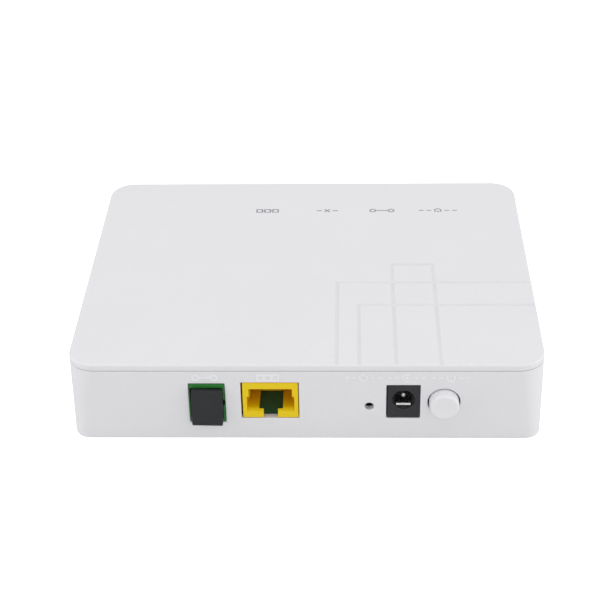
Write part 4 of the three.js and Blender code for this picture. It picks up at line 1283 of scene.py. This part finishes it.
def board_parts():
    capacitors, capacitor_ends, pads = chip_parts(CAPACITOR_ROWS)
    resistors, resistor_ends, resistor_pads = chip_parts(RESISTOR_ROWS)
    make(gathered(capacitors), "chip_capacitors", "part_black", stands_for=[], material=TAN)
    make(gathered(resistors), "chip_resistors", "part_black", stands_for=[])
    make(gathered(capacitor_ends + resistor_ends), "chip_ends", "contact_steel", stands_for=[])
    pads += resistor_pads
    for node in LEADED:
        moulded_chip(node)
        pads += gull_wings(node)
    make(gathered(pads), "board_pads", "gold_plate", stands_for=[])


def lidded(node, slot, base, lid):
    """A base with a lid on it, each as its inset, corner, lowest and highest level, and two edges."""
    box = Box(node)
    parts = []
    for inset, corner, start, end, *edges in (base, lid):
        outline = plate(box.size.x - inset, box.size.y - inset, corner, box.plan)
        parts.append(slab("z", outline, box.low.z + start, box.low.z + end, *edges))
    make(join(*parts), node, slot)


def processor():
    top = Box("network_processor").size.z
    lidded("network_processor", "part_black",
           (0, 0.2, 0.05, 0.5, 0.02, 0.02), (1.2, 0.5, 0.4, top, 0.02, 0.15))


def crystal():
    top = Box("clock_crystal").size.z
    lidded("clock_crystal", "module_metal",
           (0, 0.3, 0.04, 0.35, 0.02, 0.05), (0.5, 0.6, 0.2, top, 0.0, 0.15))


def thermal_pad():
    box = Box("thermal_pad")
    outline = plate(box.size.x - 0.4, box.size.y - 0.4, 0.6, box.plan)
    make(slab("z", outline, box.low.z + 0.01, box.high.z - 0.01, 0.18, 0.18), "thermal_pad", "thermal_grey")


HEATSINK = {"base": 1.6, "fins": 6, "root": 1.3, "tip": 0.95, "slot_pitch": 7.2, "slot_half": 0.8,
            "slot_floor": 0.4}


def heatsink():
    """An extrusion: a flat base with tapered, round-topped fins, and two slots sawn across them."""
    box = Box("heatsink")
    low, high, floor = box.low, box.high, box.low.z + HEATSINK["base"]
    root, tip, count = HEATSINK["root"] / 2, HEATSINK["tip"] / 2, HEATSINK["fins"]
    pitch = (box.size.x - 2 * root) / (count - 1)
    outline = [(low.x, low.z), (high.x, low.z)]
    for offset in reversed(spaced(count, pitch)):
        x = box.middle.x + offset
        top = [(x + u, high.z - tip + v) for u, v in arc_path(tip, 0, 180, 6)]
        outline += [(x + root, floor), *top, (x - root, floor)]
    half, bottom = HEATSINK["slot_half"], floor + HEATSINK["slot_floor"]
    slots = [block((low.x - OVER, y - half, bottom), (high.x + OVER, y + half, high.z + OVER))
             for y in (box.middle.y + dy for dy in spaced(2, HEATSINK["slot_pitch"]))]
    make(cut(loft([(low.y, outline), (high.y, outline)], "y"), *slots), "heatsink", "heatsink_aluminium")


def inductor(node):
    """A shielded coil: a square ferrite frame round a drum core."""
    box = Box(node)
    size, top = box.size.x, box.high.z
    body = slab("z", plate(size, size, size * 0.16, box.plan), box.low.z + 0.15, top, 0.1, 0.2)
    moat = cut(rod("z", box.plan, size * 0.41, (top - 0.5, top + OVER), 48),
               rod("z", box.plan, size * 0.35, (top - OVER, top + 2 * OVER), 48))
    make(cut(body, moat), node, "part_black")


def cross_cutters(centre, arm, half_width, low, high):
    """Two bars that cross, seen from above."""
    x, y = centre
    return [block((x - a, y - b, low), (x + a, y + b, high))
            for a, b in ((arm, half_width), (half_width, arm))]


CAN = {"inset": 0.15, "base": 0.8, "base_corner": 0.9, "crimp": 0.9, "score_half": 0.07, "score_depth": 0.22}


def electrolytic(node):
    """A can with a rolled groove, a scored top and a square base."""
    box = Box(node)
    radius, top, base_top = box.size.x / 2 - CAN["inset"], box.high.z, box.low.z + CAN["base"]
    crimp = base_top + CAN["crimp"]
    profile = [(0, base_top - 0.1), (radius - 0.15, base_top - 0.1), (radius, base_top + 0.1),
               (radius, crimp - 0.3), (radius - 0.22, crimp - 0.1), (radius - 0.22, crimp + 0.1),
               (radius, crimp + 0.3), (radius, top - 0.45), (radius - 0.13, top - 0.13), (radius - 0.45, top),
               (radius - 0.6, top), (radius - 0.7, top - 0.12), (0, top - 0.12)]
    scores = cross_cutters(box.plan, radius * 0.6, CAN["score_half"], top - CAN["score_depth"], top + OVER)
    make(cut(lathe("z", box.plan, profile, 56), join(*scores)), node, "heatsink_aluminium")
    outline = plate(box.size.x, box.size.y, CAN["base_corner"], box.plan, 2)
    base = slab("z", outline, box.low.z + 0.05, base_top - 0.1, 0.05, 0.1)
    make(base, node + "_base", "part_black", stands_for=[])


HEADER = {"pins": 4, "pitch": 2.54, "pin": 0.64, "cell_gap": 0.02, "cell_corner": 0.45}


def serial_header():
    box = Box("serial_header")
    low, high, pin, pitch = box.low, box.high, HEADER["pin"], HEADER["pitch"]
    top, y = low.z + pitch, box.middle.y
    bodies = [block((low.x + 0.4, y - 0.8, low.z + 0.1), (high.x - 0.4, y + 0.8, top - 0.15))]
    posts = []
    for offset in spaced(HEADER["pins"], pitch):
        place = (box.middle.x + offset, y)
        cell = plate(pitch - HEADER["cell_gap"], pitch, HEADER["cell_corner"], place, 2)
        bodies.append(slab("z", cell, low.z + 0.05, top, 0.05, 0.1))
        square, point = rounded(pin, pin, 0.05, place, 2), rounded(pin / 2, pin / 2, 0.03, place, 2)
        posts.append(loft([(top + 0.005, square), (high.z - 0.5, square), (high.z, point)]))
    make(join(*bodies), "serial_header", "part_black")
    make(gathered(posts), "serial_header_pins", "gold_plate", stands_for=[])


# ---------------------------------------------------------------- lamps and light guide

GUIDE = {"size": 2.4, "bar": (2.0, 1.2), "corner": 0.3, "scoop": 0.72, "scoop_depth": 0.25}


def light_guide():
    """A leg over each lamp, a finger to each window and a bar that joins them."""
    box = Box("light_guide")
    low, high, size, corner = box.low, box.high, GUIDE["size"], GUIDE["corner"]
    leg_y = Box("led_lan").middle.y
    xs = [Box("led_" + lamp).middle.x for lamp in LAMPS]
    parts = [slab("x", plate(*GUIDE["bar"], corner, (leg_y, WINDOW_Z)), xs[0], xs[-1], 0.0, 0.0)]
    for x in xs:
        leg = plate(size, size, corner, (x, leg_y))
        finger = plate(size, 2 * (high.z - WINDOW_Z), corner, (x, WINDOW_Z))
        parts += [slab("z", leg, low.z, high.z, 0.25, 0.6), slab("y", finger, leg_y, high.y, 0.1, 0.15)]
    scoop_span = (low.z - OVER, low.z + GUIDE["scoop_depth"])
    scoops = [rod("z", (x, leg_y), GUIDE["scoop"], scoop_span, 24) for x in xs]
    make(cut(join(*parts), *scoops), "light_guide", "guide_clear")


def lamp(node):
    """A resin lens on a flat base."""
    box = Box(node)
    size, low = box.size, box.low.z
    base = slab("z", plate(size.x, size.y, 0.06, box.plan, 2), low + PLATING, low + 0.35, 0.0, 0.02)
    lens = slab("z", plate(size.x - 0.6, size.y - 0.1, 0.1, box.plan, 2), low + 0.3, box.high.z, 0.0, 0.12)
    make(join(base, lens), node, "lamp_clear")


# ---------------------------------------------------------------- screws, feet and label

BOARD_SCREW = {"head_height": 1.5, "shank": 1.05, "way": -1}
CASE_SCREW = {"head_height": 1.9, "shank": 1.4, "way": 1}
THREAD = {"pitch": 0.7, "root": 0.8, "run_out": 1.2}


def screw(node, head_height, shank, way):
    """A cross-head screw, its thread a row of ridges. Its tip is up if way is 1, and down if it is -1."""
    box = Box(node)
    head, core, pitch = box.size.x / 2, shank * THREAD["root"], THREAD["pitch"]
    start, tip = (box.low.z, box.high.z)[::way]
    seat = start + way * head_height
    profile = [(0, start), (head * 0.72, start), (head * 0.93, start + way * 0.25),
               (head, start + way * 0.7), (head, seat - way * 0.08), (head - 0.08, seat), (core, seat)]
    for turn in range(int((abs(tip - seat) - THREAD["run_out"]) / pitch)):
        z = seat + way * (0.4 + turn * pitch)
        profile += [(core, z), (shank, z + way * pitch / 2)]
    profile += [(core, tip - way * 0.7), (shank * 0.25, tip), (0, tip)]
    low, high = sorted((start - way * OVER, start + way * head_height * 0.55))
    cross = cross_cutters(box.plan, head * 0.62, 0.32, low, high)
    make(cut(lathe("z", box.plan, profile, 36), join(*cross)), node, "screw_steel")


FOOT_EDGE = {"inset": 0.55, "radius": 0.5, "shoulder": 0.9}


def foot(node):
    """A pressed rubber button with a dished tread."""
    box = Box(node)
    radius, low, top, edge = box.size.x / 2, box.low.z, box.high.z - 0.02, FOOT_EDGE["radius"]
    rim = radius - FOOT_EDGE["inset"]
    profile = [(0, low + 0.18), (radius * 0.55, low + 0.16), (radius * 0.62, low + 0.02),
               (radius * 0.68, low)]
    profile += [(rim + edge * run, low + edge * rise) for run, rise in quarter_turn(5)]
    profile += [(radius, low + FOOT_EDGE["shoulder"]), (radius, top), (0, top)]
    make(lathe("z", box.plan, profile, 64), node, "foot_rubber", sharp=50.0)


LABEL = {"corner": 1.5, "border": 3.0, "border_corner": 0.8, "rules": 3, "rule_pitch": 6.5,
         "rule_inset": 3.5, "half_line": 0.12}


def rating_label():
    """A blank label with a ruled border and three ruled lines."""
    box = Box("rating_label")
    low, high, y = box.low, box.high, box.middle.y
    outline = plate(box.size.x, box.size.y, LABEL["corner"], box.plan)
    make(slab("z", outline, low.z + 0.01, high.z - 0.01, 0.03, 0.0, 2), "rating_label", "label_paper")
    border = LABEL["border"]
    rules = [(rounded(box.size.x - border, box.size.y - border, LABEL["border_corner"], box.plan), True)]
    inset = LABEL["rule_inset"]
    rules += [line((low.x + inset, y + dy), (high.x - inset, y + dy))
              for dy in spaced(LABEL["rules"], LABEL["rule_pitch"])]
    solids = stroke_solids(rules, LABEL["half_line"], low.z - 0.005, low.z + 0.06)
    make(gathered(solids), "label_rules", "label_paper", stands_for=[], material=INK)


# ---------------------------------------------------------------- studio

CAMERA = {"lens": 90.0, "sensor": 36.0, "clip": 0.01, "pitch": 32.973, "yaw": -2.162, "roll": -1.249,
          "distance": 0.467086, "aim": Vector((-0.00319, 0.00735, 0.0102))}
FLOOR_TONES = ((0.74, 0.74, 0.745, 1), (0.76, 0.76, 0.76, 1))
LIGHT_AIM = Vector((0.0, 0.0, 0.01))
# Soft square lights: where they stand, how wide they are and their power.
PANELS = {
    "overhead": ((0.0, 0.1, 1.3), 1.4, 3.75),
    "front": ((0.1, -1.2, 0.5), 1.2, 2.65),
    "left_fill": ((-1.1, -0.1, 0.4), 0.9, 3.7),
    "right_fill": ((1.1, -0.1, 0.4), 0.9, 4.3),
}
WORLD = {"strength": 0.65, "seen": 1.0}


def add_camera():
    pitch, yaw, roll = (math.radians(CAMERA[key]) for key in ("pitch", "yaw", "roll"))
    forward = Vector((math.sin(yaw) * math.cos(pitch), math.cos(yaw) * math.cos(pitch), -math.sin(pitch)))
    data = bpy.data.cameras.new("camera")
    data.lens = CAMERA["lens"]
    data.sensor_width = CAMERA["sensor"]
    data.clip_start = CAMERA["clip"]
    camera = bpy.data.objects.new("camera", data)
    turn = Matrix.Rotation(-yaw, 4, "Z") @ Matrix.Rotation(math.pi / 2 - pitch, 4, "X")
    turn = turn @ Matrix.Rotation(roll, 4, "Z")
    camera.matrix_world = Matrix.Translation(CAMERA["aim"] - forward * CAMERA["distance"]) @ turn
    bpy.context.scene.collection.objects.link(camera)
    bpy.context.scene.camera = camera


def add_panel(name, place, size, power):
    data = bpy.data.lights.new(name, "AREA")
    data.shape = "SQUARE"
    data.size = size
    data.energy = power
    light = bpy.data.objects.new(name, data)
    light.location = place
    light.rotation_euler = (LIGHT_AIM - Vector(place)).to_track_quat("-Z", "Y").to_euler()
    bpy.context.scene.collection.objects.link(light)


def add_world():
    """An even white surround, brighter where the camera sees it."""
    world = bpy.data.worlds.new("surround")
    world.use_nodes = True
    nodes, links = world.node_tree.nodes, world.node_tree.links
    backdrop = nodes["Background"]
    backdrop.inputs["Color"].default_value = (1, 1, 1, 1)
    path = nodes.new("ShaderNodeLightPath")
    level = nodes.new("ShaderNodeMapRange")
    level.inputs["To Min"].default_value = WORLD["strength"]
    level.inputs["To Max"].default_value = WORLD["seen"]
    links.new(path.outputs["Is Camera Ray"], level.inputs["Value"])
    links.new(level.outputs["Result"], backdrop.inputs["Strength"])
    bpy.context.scene.world = world


def add_floor():
    """A wide pale floor, lifted slightly so that it meets the surround without an edge."""
    floor = bpy.data.objects.new("floor", bpy.data.meshes.new("floor"))
    form = bmesh.new()
    bmesh.ops.create_circle(form, cap_ends=True, radius=6.0, segments=64)
    form.to_mesh(floor.data)
    form.free()
    s = Shader("floor_sweep")
    seen = s.add("ShaderNodeLightPath").outputs["Is Camera Ray"]
    floor.data.materials.append(s.finished(
        Base_Color=s.mixed(s.noise(400.0, 2.0), *FLOOR_TONES), Roughness=0.7, Emission_Color=(1, 1, 1, 1),
        Emission_Strength=s.maths("MULTIPLY", seen, 0.9)))
    bpy.context.scene.collection.objects.link(floor)


# ---------------------------------------------------------------- building it all

for build in (case_shell, case_cover, cover_print, wall_marks, optic_adapter, dust_cap, ferrule_sleeve,
              optical_module, module_leads, lan_housing, lan_contacts, power_housing, power_pin,
              power_leaf, button_cap, switch_stem, switch_body, reset_switch, main_board, board_parts,
              board_ink, processor, thermal_pad, heatsink, crystal, serial_header, light_guide, rating_label):
    build()
metal_can("laser_can", "y")
metal_can("photodiode_can", "x")
for number in ("1", "2"):
    inductor("power_inductor_" + number)
    electrolytic("capacitor_" + number)
for name in LAMPS:
    lamp("led_" + name)
for corner in CORNERS:
    screw("board_screw_" + corner, **BOARD_SCREW)
    screw("case_screw_" + corner, **CASE_SCREW)
    foot("foot_" + corner)

add_camera()
add_floor()
add_world()
for name, panel in PANELS.items():
    add_panel(name, *panel)
bpy.context.scene.view_settings.view_transform = "Standard"
